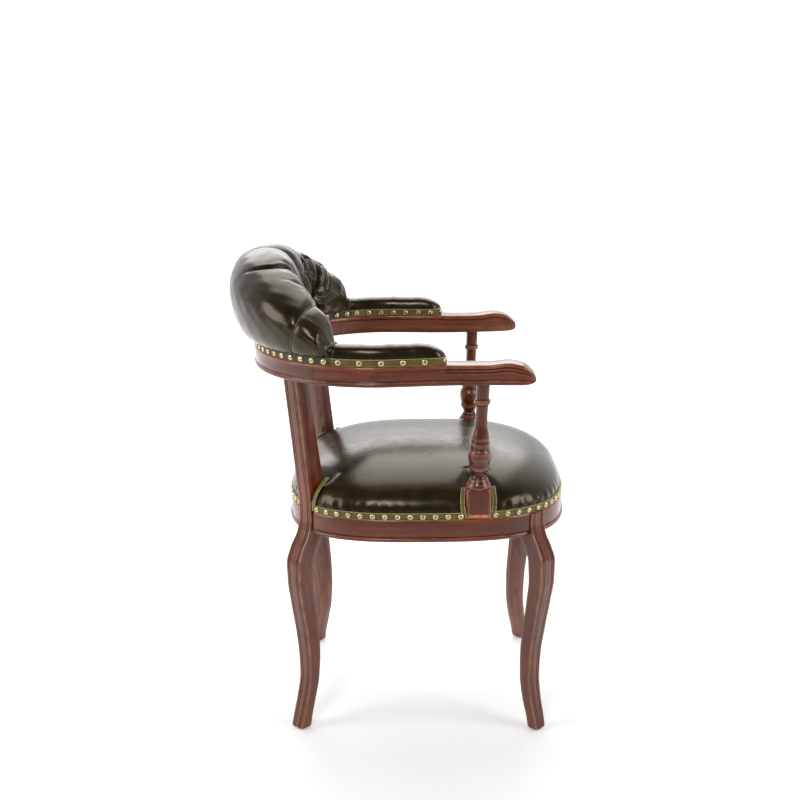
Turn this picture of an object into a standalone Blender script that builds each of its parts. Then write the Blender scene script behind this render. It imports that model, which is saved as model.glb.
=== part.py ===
"""Low-back armchair with a horseshoe arm bow, sawn cabriole legs and leather upholstery.

Metres, +Z up.  The chair stands on z = 0 and faces -Y.  The sitter's left side is +X.
Every sub-part is one object.  Right-hand pieces are at -X, left-hand pieces at +X.
"""

import math

import bmesh
import bpy
from mathutils import Vector

# ---------------------------------------------------------------- fits
GAP = 0.0003                # between pieces that touch
FIT = 0.0006                # around dowels, tenons and screws
NOTCH = 0.0020              # upholstery cut-outs around legs and posts
FOAM_EASE = 0.0020          # between foam and the leather over it
HOUSING = 0.0002            # depth of the shallow housing under each arm post
NOTCH_TOP = 0.5200          # cut-outs in the upholstery pass this height
WELD = 0.000002             # points closer than this are one point

# ---------------------------------------------------------------- seat frame
SEAT_A = 0.2450             # half width of the show-wood rail, outside
SEAT_B = 0.2415             # half depth of the show-wood rail, outside
SEAT_N = 3.0                # squareness of the seat's plan
SEAT_Y = -0.0510            # centre of the seat's plan
RAIL_LOW = 0.3575           # underside of the rails
RAIL_LEDGE = 0.3950         # top of the polished face
RAIL_TOP = 0.4090           # top of the rebated part behind the leather
RAIL_THICK = 0.0240
BEAD_HEIGHT = 0.0072        # bead along the rail's bottom edge
BEAD_PROUD = 0.0024
REBATE = 0.0055             # depth of the ledge that the leather is nailed to
LEG_REBATE = 0.0095         # the same on the flat head of a front leg
COVER_SET = 0.0028          # the leather's edge, inside the polished face
SEAT_STEPS = 56             # facets round the seat's plan

BOARD_THICK = 0.0080
BOARD_INSET = 0.0105
DUST_THICK = 0.0012
DUST_INSET = 0.0120

# ---------------------------------------------------------------- legs
GLIDE_R = 0.0080
GLIDE_H = 0.0020
# feet, from the corners of the seat's plan: outward along X, outward along Y
FOOT_FRONT = (0.0064, -0.0035)
FOOT_REAR = (-0.0044, 0.0320)
LEG_HEAD_DEPTH = RAIL_THICK + 0.0100  # a front leg reaches behind the rails for its corner block
# height, offset of the centre along the outward diagonal, depth, width
FRONT_LEG = (
    (0.000, 0.0010, 0.0200, 0.0245),
    (0.022, -0.0030, 0.0196, 0.0255),
    (0.057, -0.0115, 0.0205, 0.0275),
    (0.095, -0.0160, 0.0210, 0.0290),
    (0.135, -0.0145, 0.0230, 0.0300),
    (0.185, -0.0070, 0.0248, 0.0320),
    (0.235, 0.0020, 0.0262, 0.0345),
    (0.280, 0.0086, 0.0285, 0.0360),
    (0.310, 0.0085, 0.0310, 0.0360),
    (0.335, -0.0015, 0.0330, 0.0350),
    (0.355, 0.0040 - 0.5 * LEG_HEAD_DEPTH, LEG_HEAD_DEPTH, 0.0340),
    (0.372, -0.0002 - 0.5 * LEG_HEAD_DEPTH, LEG_HEAD_DEPTH, 0.0340),
)
REAR_LEG = (
    (0.000, 0.0010, 0.0235, 0.0270),
    (0.022, -0.0040, 0.0205, 0.0280),
    (0.055, -0.0135, 0.0195, 0.0290),
    (0.090, -0.0215, 0.0205, 0.0295),
    (0.125, -0.0230, 0.0235, 0.0305),
    (0.170, -0.0200, 0.0262, 0.0320),
    (0.225, -0.0125, 0.0296, 0.0325),
    (0.270, -0.0078, 0.0320, 0.0340),
    (0.300, -0.0078, 0.0335, 0.0350),
    (0.330, -0.0190, 0.0350, 0.0345),
    (0.355, -0.0345, 0.0360, 0.0330),
    (0.380, -0.0395, 0.0360, 0.0320),
)
REAR_POST_FOOT = (RAIL_TOP, -0.0395, 0.0360, 0.0310)
REAR_POST_HEAD = (-0.0095, 0.0256, 0.0335)  # offset, depth and width under the bow
LEG_HEAD_W = 0.0340         # the leg's width where the rails meet it
REAR_HEAD_W = 0.0330
CHAMFER = 0.0022            # eased corners of legs

BLOCK_LOW = 0.3620
BLOCK_HIGH = 0.3940
BLOCK_DEPTH = 0.0240
BLOCK_HALF = 0.0420         # longest half length of a corner block
BOLT_R = 0.0030
BOLT_IN_LEG = 0.0160
WASHER_R = 0.0080
NUT_R = 0.0060

# ---------------------------------------------------------------- bow and arms
BOW_OVER = 0.0224           # how far the bow stands out past the seat, each side
BOW_BEHIND = 0.0605         # and past it at the back
BOW_Y = 0.0200              # where the bow is widest
BOW_A = SEAT_A + BOW_OVER
BOW_B = SEAT_Y + SEAT_B + BOW_BEHIND - BOW_Y
BOW_N = 2.1
BOW_WIDTH = 0.0450
BOW_LOW = 0.6255
BOW_TOP = BOW_LOW + 0.0345
BOW_JOINT = 28.0            # degrees round the bow to the joint with each arm
BOW_EASE = 0.0040
# the arm forward of the bow: y, then how far the centre line comes in, each side narrows, the
# underside rises and the top rises, against the bow
ARM = (
    (0.0200, 0.0000, 0.0000, 0.0000, 0.0000),
    (-0.0300, 0.0051, 0.0000, 0.0000, 0.0000),
    (-0.0800, 0.0094, 0.0003, 0.0000, -0.0002),
    (-0.1150, 0.0104, 0.0009, 0.0000, -0.0012),
    (-0.1500, 0.0091, 0.0013, 0.0000, -0.0012),
    (-0.1860, 0.0059, 0.0017, 0.0000, 0.0022),
    (-0.2060, 0.0037, 0.0029, 0.0000, -0.0012),
    (-0.2180, 0.0025, 0.0053, 0.0007, -0.0085),
    (-0.2260, 0.0017, 0.0085, 0.0030, -0.0168),
    (-0.2290, 0.0014, 0.0125, 0.0055, -0.0225),
)
DOWEL_R = 0.0045
DOWEL_LENGTH = 0.0400

# ---------------------------------------------------------------- turned arm posts
POST_FOOT = (SEAT_A - 0.0260, SEAT_Y - 0.0858)
POST_HEAD_Y = POST_FOOT[1] - 0.0077
POST_BLOCK = 0.0420
POST_BLOCK_TOP = RAIL_LEDGE + 0.0495
TENON_R = 0.0080
TENON_LENGTH = 0.0180
# height, radius: drawn for a turning between these two heights
PROFILE_FOOT, PROFILE_HEAD = 0.4445, 0.6255
POST_PROFILE = (
    (0.4430, 0.0205), (0.4470, 0.0215), (0.4520, 0.0200), (0.4555, 0.0179), (0.4600, 0.0155),
    (0.4641, 0.0125), (0.4681, 0.0115), (0.4721, 0.0130), (0.4800, 0.0170), (0.4850, 0.0168),
    (0.4879, 0.0172), (0.4966, 0.0190), (0.5044, 0.0194), (0.5105, 0.0178), (0.5140, 0.0156),
    (0.5203, 0.0162), (0.5265, 0.0150), (0.5297, 0.0152), (0.5362, 0.0141), (0.5440, 0.0123),
    (0.5519, 0.0108), (0.5677, 0.0098), (0.5882, 0.0102), (0.5905, 0.0128), (0.5940, 0.0136),
    (0.5975, 0.0128), (0.5990, 0.0108), (0.6080, 0.0110),
)
SCREW_R = 0.0022
SCREW_HEAD_R = 0.0042

# ---------------------------------------------------------------- upholstery
DOME_RISE = 0.0800          # crown of the seat above its nailed edge
COVER_THICK = 0.0016
GIMP_HEIGHT = 0.0120
GIMP_THICK = 0.0012
ROLL_END = 20.0             # degrees round the bow to each end of the back roll
ROLL_BULGE = 0.0396         # how far the roll stands out behind the bow
ROLL_CREST_IN = 0.0052      # crest, inside the bow's centre line
ROLL_INNER = 0.0550         # radius of the roll on the sitter's side
# degrees round the bow, height of the crest above the bow
ROLL_CREST = (
    (90.0, 0.1670), (72.0, 0.1560), (60.0, 0.1420), (48.0, 0.1260), (38.0, 0.1060),
    (31.0, 0.0880), (25.0, 0.0670), (20.0, 0.0420),
)
BACK_BOARD_THICK = 0.0080
BACK_BOARD_RISE = 0.60      # share of the roll's height that the board reaches
PAD_FRONT = -0.0830
PAD_HALF = 0.0195
PAD_RISE = 0.0320
ROLL_STEPS = 18             # facets along the roll and its gimp
BUTTON_R = 0.0090
BUTTON_H = 0.0050
BUTTON_STEP = 24.5          # degrees between neighbouring buttons of a row
# place on the roll's section, number of buttons in the row
BUTTON_ROWS = ((2.75, 3), (3.25, 4))

# the origin is under the middle of the whole chair, front of the seat to back of the roll
FRONT_Y = SEAT_Y - SEAT_B - BEAD_PROUD
BACK_Y = BOW_Y + BOW_B + ROLL_BULGE
ORIGIN_Y = 0.5 * (FRONT_Y + BACK_Y)

# ---------------------------------------------------------------- colours
WOOD = ("mahogany", (0.20, 0.065, 0.032), 0.32, 0.0)
LEATHER = ("leather", (0.030, 0.026, 0.014), 0.28, 0.0)
GIMP = ("gimp", (0.075, 0.075, 0.018), 0.45, 0.0)
PLY = ("plywood", (0.55, 0.40, 0.24), 0.7, 0.0)
BEECH = ("beech", (0.52, 0.34, 0.19), 0.65, 0.0)
FOAM = ("foam", (0.80, 0.74, 0.55), 0.9, 0.0)
CAMBRIC = ("cambric", (0.02, 0.02, 0.02), 0.95, 0.0)
STEEL = ("steel", (0.55, 0.55, 0.56), 0.35, 1.0)
NYLON = ("nylon", (0.05, 0.04, 0.035), 0.5, 0.0)


def clear_scene():
    for piece in list(bpy.data.objects):
        bpy.data.objects.remove(piece, do_unlink=True)


def finish_object(name, mesh_data, finish):
    """Give a bmesh its object, outward faces, smooth shading and a material."""
    bmesh.ops.recalc_face_normals(mesh_data, faces=mesh_data.faces)
    mesh = bpy.data.meshes.new(name)
    mesh_data.to_mesh(mesh)
    mesh_data.free()
    mesh.shade_smooth()
    mesh.set_sharp_from_angle(angle=math.radians(35.0))
    piece = bpy.data.objects.new(name, mesh)
    bpy.context.scene.collection.objects.link(piece)
    if finish is not None:
        slot, colour, roughness, metallic = finish
        material = bpy.data.materials.new(name + "_" + slot)
        material.use_nodes = True
        shader = material.node_tree.nodes["Principled BSDF"]
        shader.inputs["Base Color"].default_value = (*colour, 1.0)
        shader.inputs["Roughness"].default_value = roughness
        shader.inputs["Metallic"].default_value = metallic
        mesh.materials.append(material)
    return piece


def loft(name, rings, finish, closed=False):
    """Skin a list of equal rings of points into one closed body, moved to the chair's origin."""
    mesh_data = bmesh.new()
    rows = [[mesh_data.verts.new((p[0], p[1] - ORIGIN_Y, p[2])) for p in ring] for ring in rings]
    count = len(rows[0])
    pairs = list(zip(rows, rows[1:]))
    if closed:
        pairs.append((rows[-1], rows[0]))
    for low, high in pairs:
        for i in range(count):
            j = (i + 1) % count
            # the shorter diagonal, so that nested skins fold the same way
            if (low[i].co - high[j].co).length <= (low[j].co - high[i].co).length:
                mesh_data.faces.new((low[i], low[j], high[j]))
                mesh_data.faces.new((low[i], high[j], high[i]))
            else:
                mesh_data.faces.new((low[i], low[j], high[i]))
                mesh_data.faces.new((low[j], high[j], high[i]))
    if not closed:
        mesh_data.faces.new(rows[0][::-1])
        mesh_data.faces.new(rows[-1])
    bmesh.ops.remove_doubles(mesh_data, verts=mesh_data.verts, dist=WELD)
    return finish_object(name, mesh_data, finish)


def cutter_from(piece):
    piece.hide_render = True
    piece.display_type = "WIRE"
    return piece


def cut(piece, cutter):
    modifier = piece.modifiers.new("cut_" + cutter.name, "BOOLEAN")
    modifier.operation = "DIFFERENCE"
    modifier.object = cutter


def join(piece, other):
    modifier = piece.modifiers.new("join_" + other.name, "BOOLEAN")
    modifier.operation = "UNION"
    modifier.object = other


def smooth_table(table, value):
    """Read a table of rows at one value of its first column, on a smooth curve."""
    keys = [row[0] for row in table]
    if keys[0] > keys[-1]:
        return smooth_table(table[::-1], value)
    if value <= keys[0]:
        return table[0][1:]
    if value >= keys[-1]:
        return table[-1][1:]
    k = max(i for i, key in enumerate(keys) if key <= value)
    k = min(k, len(keys) - 2)

    def slope(i, column):
        if i == 0 or i == len(keys) - 1:
            a, b = (0, 1) if i == 0 else (len(keys) - 2, len(keys) - 1)
            return (table[b][column] - table[a][column]) / (keys[b] - keys[a])
        before = (table[i][column] - table[i - 1][column]) / (keys[i] - keys[i - 1])
        after = (table[i + 1][column] - table[i][column]) / (keys[i + 1] - keys[i])
        if before * after <= 0.0:
            return 0.0
        return 2.0 * before * after / (before + after)

    step = keys[k + 1] - keys[k]
    t = (value - keys[k]) / step
    result = []
    for column in range(1, len(table[0])):
        a, b = table[k][column], table[k + 1][column]
        m0, m1 = slope(k, column) * step, slope(k + 1, column) * step
        result.append(
            (2 * t**3 - 3 * t**2 + 1) * a + (t**3 - 2 * t**2 + t) * m0
            + (3 * t**2 - 2 * t**3) * b + (t**3 - t**2) * m1
        )
    return tuple(result)


def power(value, exponent):
    return math.copysign(abs(value) ** exponent, value)


# ---------------------------------------------------------------- seat outline
def seat_point(angle, offset=0.0):
    """A point of the seat's plan, moved outward by offset."""
    a, b = SEAT_A + offset, SEAT_B + offset
    x = a * power(math.cos(angle), 2.0 / SEAT_N)
    y = b * power(math.sin(angle), 2.0 / SEAT_N)
    return (x, SEAT_Y + y)


def seat_ring(offset, z, count):
    points = (seat_point(2.0 * math.pi * i / count, offset) for i in range(count))
    return [(x, y, z) for x, y in points]


def seat_corner():
    """Where the seat's plan turns through 45 degrees, from its centre."""
    share = SEAT_N / (SEAT_N - 1.0)
    a, b = SEAT_A**share, SEAT_B**share
    scale = (a + b) ** (-1.0 / SEAT_N)
    return (a * scale, b * scale)


def leg_frame(side, front):
    """Foot centre, outward diagonal and the direction across a leg."""
    offset = FOOT_FRONT if front else FOOT_REAR
    reach = -1.0 if front else 1.0
    corner_x, corner_y = seat_corner()
    foot = Vector((side * (corner_x + offset[0]), SEAT_Y + reach * (corner_y + offset[1])))
    out = Vector((side, reach)).normalized()
    across = Vector((-out.y, out.x))
    return foot, out, across


def angle_at_leg(side, front, offset, distance):
    """Angle where the seat's plan is a given distance across from a leg's middle plane."""
    foot, out, across = leg_frame(side, front)
    middle = math.atan2(out.y, out.x)
    turn = 1.0 if distance > 0.0 else -1.0
    low, high = 0.0, math.radians(80.0)
    for _ in range(50):
        mid = 0.5 * (low + high)
        point = Vector(seat_point(middle + turn * mid, offset))
        reached = (point - foot).dot(across) * turn
        if reached < abs(distance):
            low = mid
        else:
            high = mid
    return middle + turn * 0.5 * (low + high)


def rail_section():
    """Outline of a rail: offset from the seat's plan, height."""
    return (
        (-RAIL_THICK, RAIL_LOW),
        (BEAD_PROUD - 0.0010, RAIL_LOW),
        (BEAD_PROUD, RAIL_LOW + 0.25 * BEAD_HEIGHT),
        (BEAD_PROUD, RAIL_LOW + 0.70 * BEAD_HEIGHT),
        (0.0, RAIL_LOW + BEAD_HEIGHT),
        (0.0, RAIL_LEDGE),
        (-REBATE, RAIL_LEDGE),
        (-REBATE, RAIL_TOP),
        (-RAIL_THICK, RAIL_TOP),
    )


def make_rail(name, start_leg, end_leg, steps):
    """A rail from one leg to the next, butted against their sides."""
    rings = []
    for step in range(steps + 1):
        share = step / steps
        ring = []
        for offset, z in rail_section():
            ends = []
            for (side, front), turn in ((start_leg, 1.0), (end_leg, -1.0)):
                width = LEG_HEAD_W if front else REAR_HEAD_W
                ends.append(angle_at_leg(side, front, offset, turn * (0.5 * width + GAP)))
            first, last = ends
            while last < first:
                last += 2.0 * math.pi
            x, y = seat_point(first + share * (last - first), offset)
            ring.append((x, y, z))
        rings.append(ring)
    return loft(name, rings, WOOD)


# ---------------------------------------------------------------- legs
def leg_section(side, front, z, shift, depth, width, ease):
    """One horizontal slice of a leg: a rectangle on the diagonal with eased corners."""
    foot, out, across = leg_frame(side, front)
    half_d, half_w = 0.5 * depth, 0.5 * width
    corners = (
        (half_d, half_w - ease), (half_d - ease, half_w),
        (-half_d + ease, half_w), (-half_d, half_w - ease),
        (-half_d, -half_w + ease), (-half_d + ease, -half_w),
        (half_d - ease, -half_w), (half_d, -half_w + ease),
    )
    ring = []
    for along, over in corners:
        point = foot + out * (shift + along) + across * over
        ring.append((point.x, point.y, z))
    return ring


def heights(low, high, steps):
    return [low + (high - low) * i / steps for i in range(steps + 1)]


def front_leg_rings(side, grow=0.0, low=GLIDE_H + GAP):
    rings = []
    for z in heights(low, FRONT_LEG[-1][0], 18):
        shift, depth, width = smooth_table(FRONT_LEG, z)
        rings.append(leg_section(side, True, z, shift, depth + grow, width + grow, CHAMFER))
    shift, depth, width = FRONT_LEG[-1][1:]
    rings.append(leg_section(side, True, RAIL_LEDGE, shift, depth + grow, width + grow, CHAMFER))
    back = 0.5 * LEG_REBATE
    depth += grow - 2.0 * back - 0.0010
    width += grow - 0.0010
    for z in (RAIL_LEDGE, RAIL_TOP):
        rings.append(leg_section(side, True, z, shift - back, depth, width, CHAMFER))
    return rings


def rear_leg_rings(side, grow=0.0, low=GLIDE_H + GAP, high=BOW_LOW - GAP):
    rings = []
    seat_z = REAR_POST_FOOT[0]
    levels = heights(GLIDE_H + GAP, seat_z, 20) + heights(seat_z, BOW_LOW - GAP, 3)[1:]
    levels = [low] + [z for z in levels if low < z < high] + [high]
    for z in levels:
        if z > seat_z:
            share = (z - seat_z) / (BOW_LOW - seat_z)
            shift, depth, width = (
                a + share * (b - a) for a, b in zip(REAR_POST_FOOT[1:], REAR_POST_HEAD)
            )
        else:
            shift, depth, width = smooth_table(REAR_LEG + (REAR_POST_FOOT,), z)
        rings.append(leg_section(side, False, z, shift, depth + grow, width + grow, CHAMFER))
    return rings


def diagonal_bar(name, side, front, z, start, profile, finish, count=10):
    """A turned piece lying along a leg's diagonal, inward from start."""
    foot, out, across = leg_frame(side, front)
    rings = []
    for distance, radius in profile:
        centre = foot + out * (start - distance)
        ring = []
        for i in range(count):
            angle = 2.0 * math.pi * i / count
            over = across * (radius * math.cos(angle))
            ring.append((centre.x + over.x, centre.y + over.y, z + radius * math.sin(angle)))
        rings.append(ring)
    return loft(name, rings, finish)


def leg_back(front):
    """Distance along the diagonal to the leg's inner face at the seat."""
    table = FRONT_LEG if front else REAR_LEG
    return table[-1][1] - 0.5 * table[-1][2]


def corner_block_plan(side, front):
    """A trapezoid behind a leg, clear of the inner faces of both rails."""
    foot, out, across = leg_frame(side, front)
    face = leg_back(front) - GAP
    plan = []
    for depth in (0.0, BLOCK_DEPTH):
        for turn in (1.0, -1.0):
            middle = foot + out * (face - depth)
            reach = 0.0
            while reach < BLOCK_HALF:
                point = middle + across * (turn * (reach + 0.0005))
                x = abs(point.x) / (SEAT_A - RAIL_THICK)
                y = abs(point.y - SEAT_Y) / (SEAT_B - RAIL_THICK)
                if x**SEAT_N + y**SEAT_N > 1.0:
                    break
                reach += 0.0005
            point = middle + across * (turn * (reach - 0.0015))
            plan.append((point.x, point.y))
    return [plan[0], plan[1], plan[3], plan[2]]


def make_leg_corner(side, front, label):
    """A leg with its corner block, bolt and floor glide."""
    rings = front_leg_rings(side) if front else rear_leg_rings(side)
    place = "front" if front else "rear"
    leg = loft(place + "_leg_" + label, rings, WOOD)
    bolt_z = 0.5 * (BLOCK_LOW + BLOCK_HIGH)
    face = leg_back(front)
    clear = BOLT_R + FIT

    hole = diagonal_bar("hole_leg_" + place + label, side, front, bolt_z, face + BOLT_IN_LEG + FIT,
                        ((0.0, clear), (BOLT_IN_LEG + 0.004, clear)), None)
    cut(leg, cutter_from(hole))

    plan = corner_block_plan(side, front)
    block = loft("corner_block_" + place + "_" + label,
                 [[(x, y, z) for x, y in plan] for z in (BLOCK_LOW, BLOCK_HIGH)], BEECH)
    hole = diagonal_bar("hole_block_" + place + label, side, front, bolt_z, face + 0.002,
                        ((0.0, clear), (BLOCK_DEPTH + 0.006, clear)), None)
    cut(block, cutter_from(hole))

    head = BOLT_IN_LEG + BLOCK_DEPTH + 2.0 * GAP
    profile = (
        (0.0, 0.6 * BOLT_R), (0.0015, BOLT_R), (head, BOLT_R), (head, WASHER_R), (head + 0.0014, WASHER_R),
        (head + 0.0014, NUT_R), (head + 0.0064, NUT_R), (head + 0.0064, BOLT_R), (head + 0.0110, BOLT_R),
    )
    name = "corner_bolt_" + place + "_" + label
    diagonal_bar(name, side, front, bolt_z, face + BOLT_IN_LEG, profile, STEEL)

    foot, out, _ = leg_frame(side, front)
    shift = (FRONT_LEG if front else REAR_LEG)[0][1]
    centre = foot + out * shift
    rings = []
    for z, radius in ((0.0, GLIDE_R - 0.0008), (0.0008, GLIDE_R), (GLIDE_H, GLIDE_R)):
        rings.append([
            (centre.x + radius * math.cos(math.radians(22.5 * i)),
             centre.y + radius * math.sin(math.radians(22.5 * i)), z) for i in range(16)
        ])
    loft("glide_" + place + "_" + label, rings, NYLON)
    return leg


# ---------------------------------------------------------------- the bow
def bow_point(degrees, offset):
    """Plan of the bow: 0 and 180 degrees are its widest points, 90 the back.

    The offset is from the centre line, outward.
    """
    t = math.radians(degrees)
    a = BOW_A - 0.5 * BOW_WIDTH + offset
    b = BOW_B - 0.5 * BOW_WIDTH + offset
    return (a * power(math.cos(t), 2.0 / BOW_N), BOW_Y + b * power(math.sin(t), 2.0 / BOW_N))


def bow_section(half, low, high, ease):
    """Wooden section: offset, height, starting at the inner bottom edge."""
    return (
        (-half, low + ease), (-half + ease, low), (half - ease, low), (half, low + 0.3 * ease),
        (half, low + 2.2 * ease), (half - 0.3 * ease, low + 2.6 * ease),
        (half - 0.3 * ease, high - ease), (half - ease, high), (-half + ease, high), (-half, high - ease),
    )


def make_bow():
    rings = []
    for i in range(21):
        degrees = BOW_JOINT + (180.0 - 2.0 * BOW_JOINT) * i / 20
        section = bow_section(0.5 * BOW_WIDTH, BOW_LOW, BOW_TOP, BOW_EASE)
        rings.append([(*bow_point(degrees, offset), z) for offset, z in section])
    return loft("bow_rear", rings, WOOD)


def arm_line(y):
    """Distance of the arm's centre line from the chair's middle plane."""
    return BOW_A - 0.5 * BOW_WIDTH - smooth_table(ARM, y)[0]


def arm_at(y, offset, side):
    """A point beside the arm's centre line forward of the bow."""
    step = 0.0010
    x = arm_line(y)
    slope = (arm_line(y - step) - arm_line(y + step)) / (2.0 * step)
    length = math.hypot(1.0, slope)
    return (side * (x + offset / length), y + offset * slope / length)


def make_arm(side, label):
    """An arm, from the joint with the bow to the scrolled tip."""
    rings = []
    for i in range(5):
        degrees = BOW_JOINT - 0.12 - (BOW_JOINT - 0.12) * i / 5
        section = bow_section(0.5 * BOW_WIDTH, BOW_LOW, BOW_TOP, BOW_EASE)
        ring = []
        for offset, z in section:
            x, y = bow_point(degrees, offset)
            ring.append((side * x, y, z))
        rings.append(ring)
    stations = [ARM[0][0] - 0.249 * i / 16 for i in range(14)] + [row[0] for row in ARM[-3:]]
    for y in sorted(set(stations), reverse=True):
        _, narrow, rise, lift = smooth_table(ARM, y)
        half, low, high = 0.5 * BOW_WIDTH - narrow, BOW_LOW + rise, BOW_TOP + lift
        ease = min(BOW_EASE, 0.25 * (high - low))
        rings.append([(*arm_at(y, offset, side), z) for offset, z in bow_section(half, low, high, ease)])
    return loft("arm_" + label, rings, WOOD)


def bow_dowel(name, side, z, radius, length, finish):
    """A straight bar across the joint of bow and arm."""
    x, y = bow_point(BOW_JOINT, 0.0)
    ahead = Vector(bow_point(BOW_JOINT - 2.0, 0.0)) - Vector(bow_point(BOW_JOINT + 2.0, 0.0))
    ahead.normalize()
    over = Vector((-ahead.y, ahead.x))
    rings = []
    for t in (-0.5, 0.5):
        ring = []
        for i in range(12):
            angle = math.radians(30.0 * i)
            px = x + ahead.x * t * length + over.x * radius * math.cos(angle)
            py = y + ahead.y * t * length + over.y * radius * math.cos(angle)
            ring.append((side * px, py, z + radius * math.sin(angle)))
        rings.append(ring)
    return loft(name, rings, finish)


def turned(name, rings_at, finish, count=12):
    """A lathe piece whose ring centres may drift: rows of x, y, z, radius."""
    rings = []
    for x, y, z, radius in rings_at:
        rings.append([
            (x + radius * math.cos(2.0 * math.pi * i / count),
             y + radius * math.sin(2.0 * math.pi * i / count), z) for i in range(count)
        ])
    return loft(name, rings, finish)


def box(name, centre, size, low, high, finish, ease=0.0):
    """An upright square bar with its top eased."""
    half = 0.5 * size
    rings = []
    for z, inset in ((low, 0.0), (high - ease, 0.0), (high, ease)):
        reach = half - inset
        rings.append([
            (centre[0] + sx * reach, centre[1] + sy * reach, z)
            for sx, sy in ((1, 1), (-1, 1), (-1, -1), (1, -1))
        ])
    if ease == 0.0:
        rings.pop(1)
    return loft(name, rings, finish)


def post_axis(z, side):
    """Centre of the turned post at a height: it leans out and forward."""
    share = (z - POST_BLOCK_TOP) / (BOW_LOW - POST_BLOCK_TOP)
    share = max(0.0, share)
    return (
        side * (POST_FOOT[0] + share * (arm_line(POST_HEAD_Y) - POST_FOOT[0])),
        POST_FOOT[1] + share * (POST_HEAD_Y - POST_FOOT[1]),
    )


def make_arm_post(side, label, arm, rail):
    """A turned post on a square block, tenoned into the arm and screwed from below."""
    foot = (side * POST_FOOT[0], POST_FOOT[1])
    post = box("arm_post_" + label, foot, POST_BLOCK, RAIL_LEDGE + GAP, POST_BLOCK_TOP, WOOD, 0.0030)
    stretch = (BOW_LOW - POST_BLOCK_TOP) / (PROFILE_HEAD - PROFILE_FOOT)
    profile = [(POST_BLOCK_TOP + (z - PROFILE_FOOT) * stretch, radius) for z, radius in POST_PROFILE]
    rows = [(*post_axis(z, side), z, radius) for z, radius in profile]
    head_z = BOW_LOW - GAP
    rows.append((*post_axis(head_z, side), head_z, POST_PROFILE[-1][1]))
    rows.append((*post_axis(head_z, side), head_z, TENON_R))
    top = head_z + TENON_LENGTH
    rows.append((*post_axis(head_z, side), top, TENON_R))
    join(post, cutter_from(turned("turning_" + label, rows, None)))

    x, y = post_axis(head_z, side)
    mortise = ((x, y, BOW_LOW - 0.004, TENON_R + FIT), (x, y, top + FIT, TENON_R + FIT))
    cut(arm, cutter_from(turned("mortise_" + label, mortise, None)))

    seat_z = RAIL_LEDGE - HOUSING
    footprint = box("footprint_" + label, foot, POST_BLOCK + 2.0 * FIT, seat_z, RAIL_TOP + 0.010, None)
    cut(rail, cutter_from(footprint))

    screw_x = side * (seat_point(math.asin((POST_FOOT[1] - SEAT_Y) / SEAT_B), -0.5 * RAIL_THICK)[0])
    low = RAIL_LOW + 0.004
    tip = RAIL_LEDGE + 0.028
    screw = (
        (screw_x, foot[1], low, SCREW_HEAD_R), (screw_x, foot[1], low + 0.0015, SCREW_HEAD_R),
        (screw_x, foot[1], low + 0.0035, SCREW_R), (screw_x, foot[1], tip - 0.004, SCREW_R),
        (screw_x, foot[1], tip, 0.0006),
    )
    turned("arm_post_screw_" + label, screw, STEEL, 10)
    hole = (
        (screw_x, foot[1], RAIL_LOW - 0.004, SCREW_HEAD_R + FIT),
        (screw_x, foot[1], low + 0.0042, SCREW_HEAD_R + FIT),
        (screw_x, foot[1], low + 0.0042, SCREW_R + FIT), (screw_x, foot[1], tip + FIT, SCREW_R + FIT),
    )
    bore = cutter_from(turned("screw_bore_" + label, hole, None, 10))
    cut(rail, bore)
    cut(post, bore)
    return post


def make_bow_screw(side, label, bow, leg):
    """A countersunk screw down through the bow into the rear post."""
    foot, out, _ = leg_frame(side, False)
    centre = foot + out * REAR_POST_HEAD[0]
    low, high = BOW_LOW - 0.030, BOW_TOP - 0.002
    rows = (
        (centre.x, centre.y, low, 0.0006), (centre.x, centre.y, low + 0.004, SCREW_R),
        (centre.x, centre.y, high - 0.0035, SCREW_R), (centre.x, centre.y, high - 0.0015, SCREW_HEAD_R),
        (centre.x, centre.y, high, SCREW_HEAD_R),
    )
    turned("bow_screw_" + label, rows, STEEL, 10)
    rows = (
        (centre.x, centre.y, low - FIT, SCREW_R + FIT),
        (centre.x, centre.y, high - 0.0042, SCREW_R + FIT),
        (centre.x, centre.y, high - 0.0042, SCREW_HEAD_R + FIT),
        (centre.x, centre.y, BOW_TOP + 0.004, SCREW_HEAD_R + FIT),
    )
    bore = cutter_from(turned("bow_bore_" + label, rows, None, 10))
    cut(bow, bore)
    cut(leg, bore)


# ---------------------------------------------------------------- seat upholstery
def dome_rings(inset, low, levels=6):
    """Rings of the seat's dome from its vertical edge up to the crown."""
    count = SEAT_STEPS
    base = RAIL_TOP - inset
    rise = DOME_RISE - inset
    rings = [seat_ring(-COVER_SET - inset, low, count)]
    for level in range(levels):
        angle = math.radians(88.0 * level / (levels - 1))
        share = max(0.0, math.cos(angle)) ** 0.78
        a = (SEAT_A - COVER_SET - inset) * share
        b = (SEAT_B - COVER_SET - inset) * share
        z = base + rise * math.sin(angle) ** 1.05
        ring = []
        for i in range(count):
            t = 2.0 * math.pi * i / count
            x = a * power(math.cos(t), 2.0 / SEAT_N)
            y = b * power(math.sin(t), 2.0 / SEAT_N)
            ring.append((x, SEAT_Y + y, z))
        rings.append(ring)
    return rings


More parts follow.
